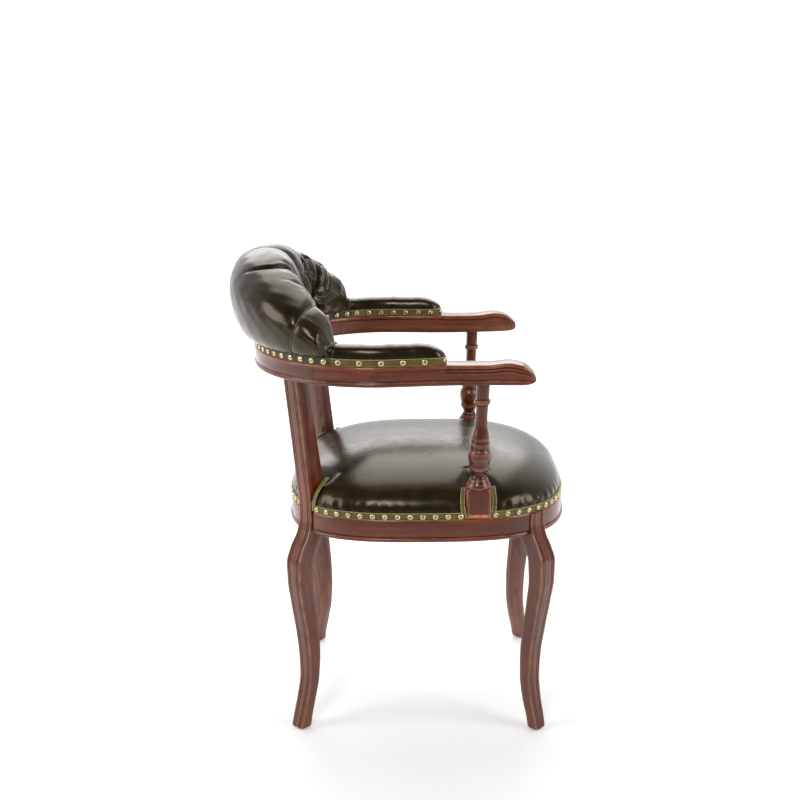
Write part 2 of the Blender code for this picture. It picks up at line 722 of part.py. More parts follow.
def make_seat(cutters):
    """Plywood seat board, foam dome, leather cover and the dust cover below."""
    board_low = RAIL_TOP + GAP
    board_rings = [seat_ring(-BOARD_INSET, z, SEAT_STEPS) for z in (board_low, board_low + BOARD_THICK)]
    board = loft("seat_board", board_rings, PLY)
    foam_low = board_low + BOARD_THICK + GAP
    inset = COVER_THICK + FOAM_EASE
    foam_rings = [ring for ring in dome_rings(inset, foam_low)[1:] if ring[0][2] > foam_low]
    foam_rings.insert(0, seat_ring(-BOARD_INSET, foam_low, SEAT_STEPS))
    foam = loft("seat_foam", foam_rings, FOAM)
    outer = dome_rings(0.0, RAIL_LEDGE + GAP)
    inner = dome_rings(COVER_THICK, RAIL_LEDGE + GAP)
    cover = loft("seat_cover", inner[::-1] + outer, LEATHER)
    dust_high = RAIL_LOW - GAP
    dust_rings = [seat_ring(-DUST_INSET, z, SEAT_STEPS) for z in (dust_high - DUST_THICK, dust_high)]
    dust = loft("dust_cover", dust_rings, CAMBRIC)
    for cutter in cutters:
        for piece in (board, foam, cover):
            cut(piece, cutter)
    return dust


def seat_gimp(name, first, last):
    """A strip of gimp on the leather's nailed edge between two angles of the seat's plan."""
    near = -COVER_SET + GAP
    far = near + GIMP_THICK
    low = RAIL_LEDGE + GAP
    high = low + GIMP_HEIGHT
    step = 2.0 * math.pi / SEAT_STEPS
    grid = [step * i for i in range(2 * SEAT_STEPS)]
    between = [angle for angle in grid if first + 0.02 * step < angle < last - 0.02 * step]
    outline = ((near, low), (far, low), (far, high), (near, high))
    rings = []
    for angle in [first] + between + [last]:
        rings.append([(*seat_point(angle, offset), z) for offset, z in outline])
    return loft(name, rings, GIMP)


def make_seat_gimps():
    """Four strips: round the front, along each side and across the back."""
    leg_clear = 0.5 * REAR_HEAD_W + NOTCH
    block_clear = 0.5 * POST_BLOCK + NOTCH

    def side_angle(y):
        """Angle of the seat's plan at a place along its right side."""
        return math.pi - math.asin(power((y - SEAT_Y) / SEAT_B, 0.5 * SEAT_N))

    ahead = side_angle(POST_FOOT[1] - block_clear)
    behind = side_angle(POST_FOOT[1] + block_clear)
    corner = angle_at_leg(-1, False, 0.0, leg_clear)
    seat_gimp("seat_gimp_front", ahead, 3.0 * math.pi - ahead)
    seat_gimp("seat_gimp_right", corner, behind)
    seat_gimp("seat_gimp_left", 3.0 * math.pi - behind, 3.0 * math.pi - corner)
    near_left = angle_at_leg(1, False, 0.0, leg_clear)
    near_right = angle_at_leg(-1, False, 0.0, -leg_clear)
    seat_gimp("seat_gimp_rear", near_left, near_right)


# ---------------------------------------------------------------- back roll
def roll_height(degrees):
    return smooth_table(ROLL_CREST, min(degrees, 180.0 - degrees))[0]


def roll_curve(degrees, inset, first, last, steps):
    """Part of the roll's section as offset and height above the bow.

    The parameter runs from 0 at the outer nail line, over the crest at 2, to 4 at the inner nail line.
    """
    height = roll_height(degrees)
    scale = height / ROLL_CREST[0][1]
    half = 0.5 * BOW_WIDTH - 0.0025
    crest = -ROLL_CREST_IN
    widest_out = 0.5 * BOW_WIDTH + ROLL_BULGE * scale - inset
    widest_in = crest - ROLL_INNER * (0.45 + 0.55 * scale) + inset
    middle = 0.60 * height
    low = min(GIMP_HEIGHT, 0.3 * height) + inset
    points = []
    for i in range(steps + 1):
        u = first + (last - first) * i / steps
        if u < 1.0:
            t = 0.5 * math.pi * u
            offset = (half - inset) + (widest_out - half + inset) * math.sin(t)
            z = middle - (middle - low) * math.cos(t)
        elif u < 2.0:
            t = 0.5 * math.pi * (u - 1.0)
            offset = crest + (widest_out - crest) * math.cos(t)
            z = middle + (height - inset - middle) * math.sin(t)
        elif u < 3.0:
            t = 0.5 * math.pi * (u - 2.0)
            offset = crest + (widest_in - crest) * math.sin(t)
            z = middle + (height - inset - middle) * math.cos(t)
        else:
            t = 0.5 * math.pi * (u - 3.0)
            offset = (-half + inset) + (widest_in + half - inset) * math.cos(t)
            z = middle - (middle - low) * math.sin(t)
        points.append((offset, z))
    return points


def roll_section(degrees, part):
    """Closed outline of one piece of the roll."""
    floor = GAP
    height = roll_height(degrees)
    board = 0.5 * BACK_BOARD_THICK
    crest = -ROLL_CREST_IN
    board_top = BACK_BOARD_RISE * height
    half = 0.5 * BOW_WIDTH - 0.0025
    inset = COVER_THICK + FOAM_EASE
    if part == "board":
        return [
            (crest + board, floor), (crest + board, board_top),
            (crest - board, board_top), (crest - board, floor)]
    if part == "outer":
        curve = roll_curve(degrees, inset, 0.0, 2.0, 8)
        curve[-1] = (crest + GAP, curve[-1][1])
        return [(half - inset, floor)] + curve + [
            (crest + GAP, board_top + 2 * GAP), (crest + board + GAP, board_top + 2 * GAP),
            (crest + board + GAP, floor)]
    if part == "inner":
        curve = roll_curve(degrees, inset, 2.0, 4.0, 8)
        curve[0] = (crest - GAP, curve[0][1])
        return curve + [
            (-half + inset, floor), (crest - board - GAP, floor), (crest - board - GAP, board_top + 2 * GAP),
            (crest - GAP, board_top + 2 * GAP)]
    outside = [(half, floor)] + roll_curve(degrees, 0.0, 0.0, 4.0, 16) + [(-half, floor)]
    half -= COVER_THICK
    inside = [(half, floor)] + roll_curve(degrees, COVER_THICK, 0.0, 4.0, 16) + [(-half, floor)]
    return outside + inside[::-1]


def make_roll():
    parts = (("back_board", "board", PLY), ("back_foam_outer", "outer", FOAM),
             ("back_foam_inner", "inner", FOAM), ("back_cover", "cover", LEATHER))
    for name, part, finish in parts:
        rings = []
        for i in range(ROLL_STEPS + 1):
            degrees = ROLL_END + (180.0 - 2.0 * ROLL_END) * i / ROLL_STEPS
            rings.append([
                (*bow_point(degrees, offset), BOW_TOP + z) for offset, z in roll_section(degrees, part)
            ])
        loft(name, rings, finish)


def make_bow_gimp(name, side_of_bow):
    """A strip of gimp on the roll's nailed edge, outside or inside the bow."""
    half = 0.5 * BOW_WIDTH - 0.0025
    near, far = half + GAP, half + GAP + GIMP_THICK
    low, high = BOW_TOP + GAP, BOW_TOP + GAP + 0.85 * GIMP_HEIGHT
    rings = []
    for i in range(ROLL_STEPS + 1):
        degrees = ROLL_END + (180.0 - 2.0 * ROLL_END) * i / ROLL_STEPS
        ring = []
        for offset, z in ((near, low), (far, low), (far, high), (near, high)):
            ring.append((*bow_point(degrees, side_of_bow * offset), z))
        rings.append(ring)
    return loft(name, rings, GIMP)


# ---------------------------------------------------------------- arm pads
def pad_path(steps):
    """Centre line of an arm pad from the roll's end to its round front: x, y, outward x, outward y."""
    rows = []
    for i in range(5):
        degrees = (ROLL_END - 0.15) * (1.0 - i / 5)
        inner, outer = Vector(bow_point(degrees, -0.01)), Vector(bow_point(degrees, 0.01))
        centre = 0.5 * (inner + outer)
        out = (outer - inner).normalized()
        rows.append((centre.x, centre.y, out.x, out.y))
    for i in range(steps):
        y = ARM[0][0] + (PAD_FRONT + PAD_HALF - ARM[0][0]) * i / (steps - 1)
        centre = Vector(arm_at(y, 0.0, 1))
        out = (Vector(arm_at(y, 0.01, 1)) - centre).normalized()
        rows.append((centre.x, centre.y, out.x, out.y))
    return rows


def pad_section(half, rise):
    """Upright sides and a domed top."""
    side_z = min(GIMP_HEIGHT, 0.5 * rise)
    points = [(half, GAP), (half, side_z)]
    for i in range(1, 6):
        t = math.pi * i / 6
        points.append((half * power(math.cos(t), 0.75), side_z + (rise - side_z) * math.sin(t) ** 0.8))
    points += [(-half, side_z), (-half, GAP)]
    return points


def make_pad(side, label):
    rows = pad_path(8)
    rings = []
    for x, y, out_x, out_y in rows:
        rings.append([
            (side * (x + out_x * offset), y + out_y * offset, BOW_TOP + z)
            for offset, z in pad_section(PAD_HALF, PAD_RISE)
        ])
    x, y, out_x, out_y = rows[-1]
    for i in range(1, 5):
        t = 0.5 * math.pi * i / 4.4
        half, rise = PAD_HALF * math.cos(t), PAD_RISE * (0.55 + 0.45 * math.cos(t))
        cy = y - PAD_HALF * math.sin(t)
        rings.append([
            (side * (x + offset), cy, BOW_TOP + z) for offset, z in pad_section(half, rise)
        ])
    return loft("arm_pad_" + label, rings, LEATHER)


def make_pad_gimp(side, label):
    """A strip of gimp round an arm pad: outer side, round front, inner side."""
    rows = pad_path(8)
    near, far = PAD_HALF + GAP, PAD_HALF + GAP + GIMP_THICK
    low, high = BOW_TOP + GAP, BOW_TOP + GAP + 0.85 * GIMP_HEIGHT
    rings = []

    def add(x, y, out_x, out_y, clear=0.0):
        ring = []
        for offset, z in ((near, low), (far, low), (far, high), (near, high)):
            ring.append((side * (x + out_x * (offset + clear)), y + out_y * (offset + clear), z))
        rings.append(ring)

    for x, y, out_x, out_y in rows:
        add(x, y, out_x, out_y)
    x, y, _, _ = rows[-1]
    steps = 10
    flat = near / math.cos(0.5 * math.pi / steps) - near
    for i in range(1, steps):
        t = math.pi * i / steps
        add(x, y, math.cos(t), -math.sin(t), flat)
    for x, y, out_x, out_y in rows[::-1]:
        add(x, y, -out_x, -out_y)
    return loft("arm_gimp_" + label, rings, GIMP)


def roll_surface(degrees, u):
    """A point of the roll's leather; u is roll_curve's parameter."""
    offset, z = roll_curve(degrees, 0.0, u, u, 1)[0]
    return Vector((*bow_point(degrees, offset), BOW_TOP + z))


def make_buttons():
    """Tufting buttons on the sitter's side of the roll, in two staggered rows."""
    number = 0
    for u, count in BUTTON_ROWS:
        for place in range(count):
            degrees = 90.0 + BUTTON_STEP * (place - 0.5 * (count - 1))
            number += 1
            seat = roll_surface(degrees, u)
            up = (roll_surface(degrees, u - 0.1) - roll_surface(degrees, u + 0.1)).normalized()
            across = (roll_surface(degrees + 1.0, u) - roll_surface(degrees - 1.0, u)).normalized()
            axis = up.cross(across).normalized()
            if axis.y * math.sin(math.radians(degrees)) > 0.0:
                axis = -axis
            seat += axis * 2.0 * FIT
            rings = []
            for reach, share in ((0.0, 1.0), (0.45, 1.0), (1.0, 0.4)):
                radius = share * BUTTON_R
                ring = []
                for i in range(10):
                    angle = math.radians(36.0 * i)
                    over = across * (radius * math.cos(angle)) + up * (radius * math.sin(angle))
                    ring.append(tuple(seat + axis * (reach * BUTTON_H) + over))
                rings.append(ring)
            loft("tuft_button_%d" % number, rings, LEATHER)


def main():
    clear_scene()
    legs = {}
    for side, label in ((-1, "right"), (1, "left")):
        for front in (True, False):
            legs[side, front] = make_leg_corner(side, front, label)

    right_rail = make_rail("seat_rail_right", (-1, False), (-1, True), 14)
    make_rail("seat_rail_front", (-1, True), (1, True), 14)
    left_rail = make_rail("seat_rail_left", (1, True), (1, False), 14)
    make_rail("seat_rail_rear", (1, False), (-1, False), 14)

    bow = make_bow()
    seat_cutters = []
    for side, label, rail in ((-1, "right", right_rail), (1, "left", left_rail)):
        arm = make_arm(side, label)
        make_arm_post(side, label, arm, rail)
        make_bow_screw(side, label, bow, legs[side, False])
        dowel_z = 0.5 * (BOW_LOW + BOW_TOP)
        bow_dowel("arm_dowel_" + label, side, dowel_z, DOWEL_R, DOWEL_LENGTH, BEECH)
        bore = bow_dowel("dowel_bore_" + label, side, dowel_z, DOWEL_R + FIT, DOWEL_LENGTH + 2.0 * FIT, None)
        cutter_from(bore)
        cut(arm, bore)
        cut(bow, bore)
        foot = (side * POST_FOOT[0], POST_FOOT[1])
        low = RAIL_LEDGE - NOTCH
        notch = box("block_notch_" + label, foot, POST_BLOCK + 2.0 * NOTCH, low, NOTCH_TOP, None)
        seat_cutters.append(cutter_from(notch))
        rings = rear_leg_rings(side, 2.0 * NOTCH, low, NOTCH_TOP)
        seat_cutters.append(cutter_from(loft("post_notch_" + label, rings, None)))

    dust = make_seat(seat_cutters)
    for side, label in ((-1, "right"), (1, "left")):
        for front in (True, False):
            width = LEG_HEAD_W if front else REAR_HEAD_W
            table = FRONT_LEG if front else REAR_LEG
            rings = []
            for z in (RAIL_LOW - 0.012, RAIL_LOW + 0.012):
                shift, depth, _ = smooth_table(table, z)
                rings.append(leg_section(side, front, z, shift, depth + 0.020, width + 4.0 * NOTCH, CHAMFER))
            name = "dust_notch_%s_%s" % ("front" if front else "rear", label)
            cut(dust, cutter_from(loft(name, rings, None)))

    make_seat_gimps()
    make_roll()
    make_bow_gimp("bow_gimp_outer", 1.0)
    make_bow_gimp("bow_gimp_inner", -1.0)
    for side, label in ((-1, "right"), (1, "left")):
        make_pad(side, label)
        make_pad_gimp(side, label)
    make_buttons()


main()
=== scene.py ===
"""Looks of a low-back leather armchair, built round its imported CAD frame.

Metres, +Z up.  The chair faces -Y and the sitter's left is +X.  Shapes are drawn in the same
coordinates as the frame's own source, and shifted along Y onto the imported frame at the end.
"""
import math

import bmesh
import bpy
import numpy as np
from mathutils import Matrix, Vector


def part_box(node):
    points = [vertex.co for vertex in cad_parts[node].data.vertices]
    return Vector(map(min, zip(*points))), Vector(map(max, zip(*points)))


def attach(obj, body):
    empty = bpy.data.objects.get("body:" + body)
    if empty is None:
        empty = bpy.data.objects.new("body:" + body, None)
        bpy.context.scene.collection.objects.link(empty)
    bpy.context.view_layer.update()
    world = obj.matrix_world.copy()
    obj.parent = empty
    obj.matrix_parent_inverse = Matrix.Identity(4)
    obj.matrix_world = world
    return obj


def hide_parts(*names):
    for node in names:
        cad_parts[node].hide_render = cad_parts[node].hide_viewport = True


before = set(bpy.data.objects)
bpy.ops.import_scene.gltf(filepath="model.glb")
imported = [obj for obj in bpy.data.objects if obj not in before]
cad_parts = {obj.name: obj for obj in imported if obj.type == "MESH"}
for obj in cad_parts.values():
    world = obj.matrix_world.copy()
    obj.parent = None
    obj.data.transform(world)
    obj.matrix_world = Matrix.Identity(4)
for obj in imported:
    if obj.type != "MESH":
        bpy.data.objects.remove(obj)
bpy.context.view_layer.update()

# ---------------------------------------------------------------- sizes read from the frame
RAIL_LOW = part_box("seat_rail_front")[0].z
RAIL_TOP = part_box("seat_rail_front")[1].z
BOW_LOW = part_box("bow_rear")[0].z
BOW_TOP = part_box("bow_rear")[1].z
BOW_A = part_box("arm_left")[1].x
GIMP_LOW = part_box("seat_gimp_front")[0].z
GIMP_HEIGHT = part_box("seat_gimp_front")[1].z - GIMP_LOW
PAD_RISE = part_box("arm_pad_left")[1].z - BOW_TOP

# ---------------------------------------------------------------- sizes shared with the frame's source
GAP = 0.0003
SEAT_A, SEAT_B, SEAT_N = 0.2450, 0.2415, 3.0
SEAT_Y = -0.0510
RAIL_THICK = 0.0240
RAIL_LEDGE = GIMP_LOW - GAP
BEAD_HEIGHT = 0.0072
BEAD_PROUD = 0.0024
REBATE = 0.0055
LEG_REBATE = 0.0095
COVER_SET = 0.0028
DOME_RISE = 0.0800
ORIGIN_Y = SEAT_Y - SEAT_B - BEAD_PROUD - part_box("seat_rail_front")[0].y
LEG_HEAD_W = 0.0340
REAR_HEAD_W = 0.0330
# height, offset of the centre along the outward diagonal, depth, width
FRONT_LEG = (
    (0.000, 0.0010, 0.0200, 0.0245), (0.022, -0.0030, 0.0196, 0.0255), (0.057, -0.0115, 0.0205, 0.0275),
    (0.095, -0.0160, 0.0210, 0.0290), (0.135, -0.0145, 0.0230, 0.0300), (0.185, -0.0070, 0.0248, 0.0320),
    (0.235, 0.0020, 0.0262, 0.0345), (0.280, 0.0086, 0.0285, 0.0360), (0.310, 0.0085, 0.0310, 0.0360),
    (0.335, -0.0015, 0.0330, 0.0350), (0.355, -0.0130, 0.0340, 0.0340), (0.372, -0.0172, 0.0340, 0.0340),
)
REAR_LEG = (
    (0.000, 0.0010, 0.0235, 0.0270), (0.022, -0.0040, 0.0205, 0.0280), (0.055, -0.0135, 0.0195, 0.0290),
    (0.090, -0.0215, 0.0205, 0.0295), (0.125, -0.0230, 0.0235, 0.0305), (0.170, -0.0200, 0.0262, 0.0320),
    (0.225, -0.0125, 0.0296, 0.0325), (0.270, -0.0078, 0.0320, 0.0340), (0.300, -0.0078, 0.0335, 0.0350),
    (0.330, -0.0190, 0.0350, 0.0345), (0.355, -0.0345, 0.0360, 0.0330), (0.380, -0.0395, 0.0360, 0.0320),
    (0.409, -0.0395, 0.0360, 0.0310),
)
REAR_POST_FOOT = REAR_LEG[-1]
REAR_POST_HEAD = (BOW_LOW, -0.0095, 0.0256, 0.0335)
FOOT_SHIFT = 0.0010         # how far a foot's centre stands out from its leg's own axis

BOW_N = 2.1
BOW_Y = 0.0200
BOW_B = SEAT_Y + SEAT_B + 0.0605 - BOW_Y
BOW_WIDTH = 0.0450
BOW_JOINT = 28.0
# y, how far the arm's centre line comes in, each side narrows, underside and top rise
ARM = (
    (0.0200, 0.0000, 0.0000, 0.0000, 0.0000), (-0.0300, 0.0051, 0.0000, 0.0000, 0.0000),
    (-0.0800, 0.0094, 0.0003, 0.0000, -0.0002), (-0.1150, 0.0104, 0.0009, 0.0000, -0.0012),
    (-0.1500, 0.0091, 0.0013, 0.0000, -0.0012), (-0.1860, 0.0059, 0.0017, 0.0000, 0.0022),
    (-0.2060, 0.0037, 0.0029, 0.0000, -0.0012), (-0.2180, 0.0025, 0.0053, 0.0007, -0.0085),
    (-0.2260, 0.0017, 0.0085, 0.0030, -0.0168), (-0.2290, 0.0014, 0.0125, 0.0055, -0.0225),
)
POST_FOOT = (SEAT_A - 0.0260, SEAT_Y - 0.0858)
POST_HEAD_Y = POST_FOOT[1] - 0.0077
POST_BLOCK = 0.0420
POST_BLOCK_TOP = RAIL_LEDGE + 0.0495
POST_PROFILE = (
    (0.4430, 0.0205), (0.4470, 0.0215), (0.4520, 0.0200), (0.4555, 0.0179), (0.4600, 0.0155),
    (0.4641, 0.0125), (0.4681, 0.0115), (0.4721, 0.0130), (0.4800, 0.0170), (0.4850, 0.0168),
    (0.4879, 0.0172), (0.4966, 0.0190), (0.5044, 0.0194), (0.5105, 0.0178), (0.5140, 0.0156),
    (0.5203, 0.0162), (0.5265, 0.0150), (0.5297, 0.0152), (0.5362, 0.0141), (0.5440, 0.0123),
    (0.5519, 0.0108), (0.5677, 0.0098), (0.5882, 0.0102), (0.5905, 0.0128), (0.5940, 0.0136),
    (0.5975, 0.0128), (0.5990, 0.0108), (0.6080, 0.0110),
)
ROLL_END = 20.0
ROLL_BULGE = 0.0396
ROLL_CREST_IN = 0.0052
ROLL_INNER = 0.0550
ROLL_CREST = (
    (90.0, 0.1670), (72.0, 0.1560), (60.0, 0.1420), (48.0, 0.1260), (38.0, 0.1060),
    (31.0, 0.0880), (25.0, 0.0670), (20.0, 0.0420),
)
PAD_FRONT = -0.0830
PAD_HALF = 0.0195
BUTTON_STEP = 24.5          # degrees between neighbouring buttons of a row
BUTTON_HIGH, BUTTON_LOW = 2.75, 3.25    # places of the two rows on the roll's section
BUTTON_R = 0.0090

# ---------------------------------------------------------------- looks
NAIL_R = 0.0050
NAIL_RISE = 0.0024
SEAT_PITCH = 0.0210
BOW_PITCH = 0.0228
PAD_PITCH_OUT = 0.0350
PAD_PITCH_IN = 0.0240
BRAID_THICK = 0.0012
NAIL_STAND = 0.0017         # how far a nail's rim stands out from the line that its braid follows
NAIL_SIDES = 14
CORD_R = 0.0008             # corded edges of the gimp
WELT_R = 0.0010             # piped seams of the leather
ROUND = 2.0 * math.pi
PROBE = 0.01                # short step across a plan, to find the direction outward

CAMERA_PLACE = (-2.4174, -0.0421 - ORIGIN_Y, 1.1133)
CAMERA_PITCH, CAMERA_YAW, CAMERA_ROLL = 13.27, 0.87, -0.78
CAMERA_LENS = 62.02


# ---------------------------------------------------------------- numbers
def unit(vector):
    return vector / np.linalg.norm(vector)


def run_along(points):
    """Distance along a polyline, at each of its points."""
    return np.concatenate([[0.0], np.cumsum(np.linalg.norm(np.diff(points, axis=0), axis=1))])


def side_name(side):
    return "left" if side > 0 else "right"


def power(value, exponent):
    return math.copysign(abs(value) ** exponent, value)


def smoothstep(low, high, value):
    t = np.clip((value - low) / (high - low), 0.0, 1.0)
    return t * t * (3.0 - 2.0 * t)


def smooth_table(table, value):
    """Read a table of rows at one value of its first column, on a smooth curve."""
    keys = [row[0] for row in table]
    if keys[0] > keys[-1]:
        return smooth_table(table[::-1], value)
    if value <= keys[0]:
        return table[0][1:]
    if value >= keys[-1]:
        return table[-1][1:]
    k = min(max(i for i, key in enumerate(keys) if key <= value), len(keys) - 2)

    def slope(i, column):
        if i == 0 or i == len(keys) - 1:
            a, b = (0, 1) if i == 0 else (len(keys) - 2, len(keys) - 1)
            return (table[b][column] - table[a][column]) / (keys[b] - keys[a])
        before = (table[i][column] - table[i - 1][column]) / (keys[i] - keys[i - 1])
        after = (table[i + 1][column] - table[i][column]) / (keys[i + 1] - keys[i])
        if before * after <= 0.0:
            return 0.0
        return 2.0 * before * after / (before + after)

    step = keys[k + 1] - keys[k]
    t = (value - keys[k]) / step
    result = []
    for column in range(1, len(table[0])):
        a, b = table[k][column], table[k + 1][column]
        m0, m1 = slope(k, column) * step, slope(k + 1, column) * step
        result.append(
            (2 * t**3 - 3 * t**2 + 1) * a + (t**3 - 2 * t**2 + t) * m0
            + (3 * t**2 - 2 * t**3) * b + (t**3 - t**2) * m1
        )
    return tuple(result)


# ---------------------------------------------------------------- materials
class Graph:
    """A short way to write a node material."""

    def __init__(self, name):
        self.material = bpy.data.materials.new(name)
        self.material.use_nodes = True
        self.tree = self.material.node_tree
        self.shader = self.tree.nodes["Principled BSDF"]

    def add(self, kind, out=0, **inputs):
        settings = inputs.pop("settings", {})
        node = self.tree.nodes.new("ShaderNode" + kind)
        for key, value in settings.items():
            setattr(node, key, value)
        for key, value in inputs.items():
            socket = node.inputs[int(key[1:])] if key[0] == "_" else node.inputs[key.replace("_", " ")]
            self.put(socket, value)
        return node.outputs[out]

    def put(self, socket, value):
        if isinstance(value, bpy.types.NodeSocket):
            self.tree.links.new(value, socket)
        else:
            socket.default_value = value

    def attribute(self, name, out):
        return self.add("Attribute", out, settings={"attribute_name": name})

    def scaled(self, vector, scale):
        return self.add("Mapping", 0, Vector=vector, Scale=scale)

    def noise(self, vector, scale, detail=3.0, rough=0.5, distortion=0.0):
        return self.add("TexNoise", 0, Vector=vector, Scale=scale, Detail=detail, Roughness=rough,
                        Distortion=distortion)

    def ramp(self, value, *stops):
        output = self.add("ValToRGB", 0, Fac=value)
        elements = output.node.color_ramp.elements
        while len(elements) < len(stops):
            elements.new(0.5)
        for element, (place, colour) in zip(elements, stops):
            element.position = place
            element.color = (*colour, 1.0) if isinstance(colour, tuple) else (colour, colour, colour, 1.0)
        return output

    def mix(self, factor, a, b, blend="MIX"):
        node = self.tree.nodes.new("ShaderNodeMix")
        node.data_type = "RGBA"
        node.blend_type = blend
        self.put(node.inputs["Factor"], factor)
        for name, value in (("A", a), ("B", b)):
            socket = [s for s in node.inputs if s.name == name and s.type == "RGBA"][0]
            self.put(socket, (*value, 1.0) if isinstance(value, tuple) else value)
        return [s for s in node.outputs if s.type == "RGBA"][0]

    def math(self, operation, a, b=0.5, clamp=False):
        return self.add("Math", 0, settings={"operation": operation, "use_clamp": clamp}, _0=a, _1=b)

    def bump(self, height, strength, distance, normal=None):
        inputs = {"Height": height, "Strength": strength, "Distance": distance}
        if normal is not None:
            inputs["Normal"] = normal
        return self.add("Bump", 0, **inputs)

    def finish(self, **sockets):
        for key, value in sockets.items():
            self.put(self.shader.inputs[key.replace("_", " ")], value)
        return self.material


def wood_material(name, low, mid, high, rough=0.34, shade=1.0):
    """Stained wood: grain along the piece, dark antiquing in grooves, painted highlight on edges and a
    painted orange highlight band.
    """
    g = Graph(name)
    grain = g.attribute("grain", 1)
    tone = g.attribute("tone", 2)
    place = g.add("TexCoord", 3)
    streaks = g.noise(g.scaled(grain, (5.0, 70.0, 1.0)), 1.0, 5.0, 0.62, 0.6)
    cathedral = g.noise(g.scaled(grain, (2.2, 26.0, 1.0)), 1.0, 2.0, 0.5, 1.6)
    pores = g.noise(g.scaled(grain, (45.0, 1100.0, 1.0)), 1.0, 2.0, 0.6)
    cloud = g.noise(place, 11.0, 3.0, 0.55)
    figure = g.add("Mix", 0, _0=0.45, _2=streaks, _3=cathedral)
    colour = g.ramp(figure, (0.30, low), (0.50, mid), (0.72, high))
    dark = tuple(0.38 * c for c in low)
    colour = g.mix(g.ramp(pores, (0.30, 0.55), (0.48, 0.0)), colour, dark)
    colour = g.mix(g.ramp(cloud, (0.34, 0.42), (0.62, 0.0)), colour, tuple(0.62 * c for c in low))
    # Painted highlight: positive tone (edges and corners) lightens the wood towards a pale colour.
    edge_highlight = g.math("MULTIPLY", tone, g.ramp(g.noise(place, 55.0, 3.0), (0.32, 0.25), (0.62, 1.0)), True)
    highlight_colour = (0.46 * shade, 0.17 * shade, 0.085 * shade)
    colour = g.mix(g.math("MULTIPLY", edge_highlight, 0.55), colour, highlight_colour)
    groove = g.math("MULTIPLY", tone, -0.88, True)
    colour = g.mix(groove, colour, (0.018, 0.006, 0.004))
    # Painted highlight: tone above 1.2 adds a bright orange band, broken up by noise.
    highlight_band = g.math("SUBTRACT", tone, 1.2, True)
    highlight_band = g.math("MULTIPLY", highlight_band, g.ramp(g.noise(place, 120.0, 2.0), (0.40, 0.1), (0.60, 1.0)))
    colour = g.mix(highlight_band, colour, (0.62, 0.24, 0.04))
    gloss = g.ramp(g.noise(place, 30.0, 4.0), (0.3, rough - 0.06), (0.7, rough + 0.10))
    normal = g.bump(pores, 0.12, 0.0004, g.bump(streaks, 0.10, 0.0006))
    return g.finish(Base_Color=colour, Roughness=gloss, Normal=normal, Coat_Weight=0.50, Coat_Roughness=0.10,
                    Specular_IOR_Level=0.3)


def leather_material(name, dark, light, rough=0.25):
    """Glazed leather: fine pebble, creases, painted shade in folds, tufts and round the posts, and paler
    rubbed edges, which on the welts are partly painted highlight.
    """
    g = Graph(name)
    tone = g.attribute("tone", 2)
    place = g.add("TexCoord", 3)
    mottle = g.noise(place, 24.0, 5.0, 0.6, 0.4)
    fine = g.noise(place, 260.0, 3.0, 0.6)
    colour = g.mix(g.ramp(mottle, (0.35, 0.0), (0.68, 1.0)), dark, light)
    colour = g.mix(g.math("MULTIPLY", fine, 0.22), colour, tuple(0.35 * c for c in dark))
    # Painted shade: negative tone darkens folds, tufts and the leather round the posts.
    colour = g.mix(g.math("MULTIPLY", tone, -0.9, True), colour, (0.0022, 0.0019, 0.0012))
    # Positive tone lightens: rubbed edges, and on the welts partly painted highlight.
    colour = g.mix(g.math("MULTIPLY", tone, 0.8, True), colour, (0.115, 0.100, 0.052))
    pebble = g.add("TexVoronoi", 0, Vector=place, Scale=720.0, settings={"feature": "F1"})
    crease = g.noise(g.scaled(place, (1.0, 1.0, 1.6)), 70.0, 6.0, 0.66, 1.2)
    gloss = g.ramp(g.noise(place, 48.0, 4.0, 0.6), (0.30, rough - 0.03), (0.72, rough + 0.08))
    normal = g.bump(crease, 0.06, 0.0016, g.bump(pebble, 0.07, 0.0004))
    return g.finish(Base_Color=colour, Roughness=gloss, Normal=normal, Specular_IOR_Level=0.52,
                    Specular_Tint=(1.0, 0.86, 0.64, 1.0))


def gimp_material(name, body, edge):
    """Flat woven braid with corded edges; 'grain' runs along the strip."""
    g = Graph(name)
    grain = g.attribute("grain", 1)
    tone = g.attribute("tone", 2)
    place = g.add("TexCoord", 3)
    weave = g.add("TexWave", 1, Vector=g.scaled(grain, (1.0, 0.6, 1.0)), Scale=260.0, Distortion=1.5,
                  settings={"wave_type": "BANDS", "bands_direction": "X"})
    patch = g.noise(place, 70.0, 4.0, 0.6)
    colour = g.mix(g.ramp(patch, (0.35, 0.0), (0.65, 1.0)), tuple(0.55 * c for c in body), body)
    colour = g.mix(g.math("MULTIPLY", weave, 0.35), colour, tuple(1.7 * c for c in body))
    colour = g.mix(g.math("MULTIPLY", tone, 0.85, True), colour, edge)
    # Painted shade: negative tone darkens the flat beside each cord.
    colour = g.mix(g.math("MULTIPLY", tone, -0.85, True), colour, (0.006, 0.006, 0.002))
    normal = g.bump(weave, 0.35, 0.0004, g.bump(patch, 0.15, 0.0005))
    return g.finish(Base_Color=colour, Roughness=0.42, Normal=normal, Sheen_Weight=0.25, Sheen_Roughness=0.4)


def brass_material():
    """Pale antique brass, with dark patina in the hammered crown."""
    g = Graph("nail_brass")
    tone = g.attribute("tone", 2)
    place = g.add("TexCoord", 3)
    speck = g.noise(place, 420.0, 4.0, 0.6)
    colour = g.mix(g.ramp(speck, (0.35, 0.0), (0.65, 1.0)), (0.50, 0.38, 0.18), (0.86, 0.74, 0.48))
    dark = g.math("MULTIPLY", tone, -1.0, True)
    patina = g.math("MULTIPLY", dark, g.ramp(speck, (0.40, 0.35), (0.58, 1.0)))
    colour = g.mix(patina, colour, (0.05, 0.038, 0.02))
    hammer = g.add("TexVoronoi", 0, Vector=place, Scale=900.0)
    gloss = g.ramp(speck, (0.3, 0.22), (0.7, 0.42))
    return g.finish(Base_Color=colour, Roughness=gloss, Metallic=1.0, Normal=g.bump(hammer, 0.3, 0.0005))


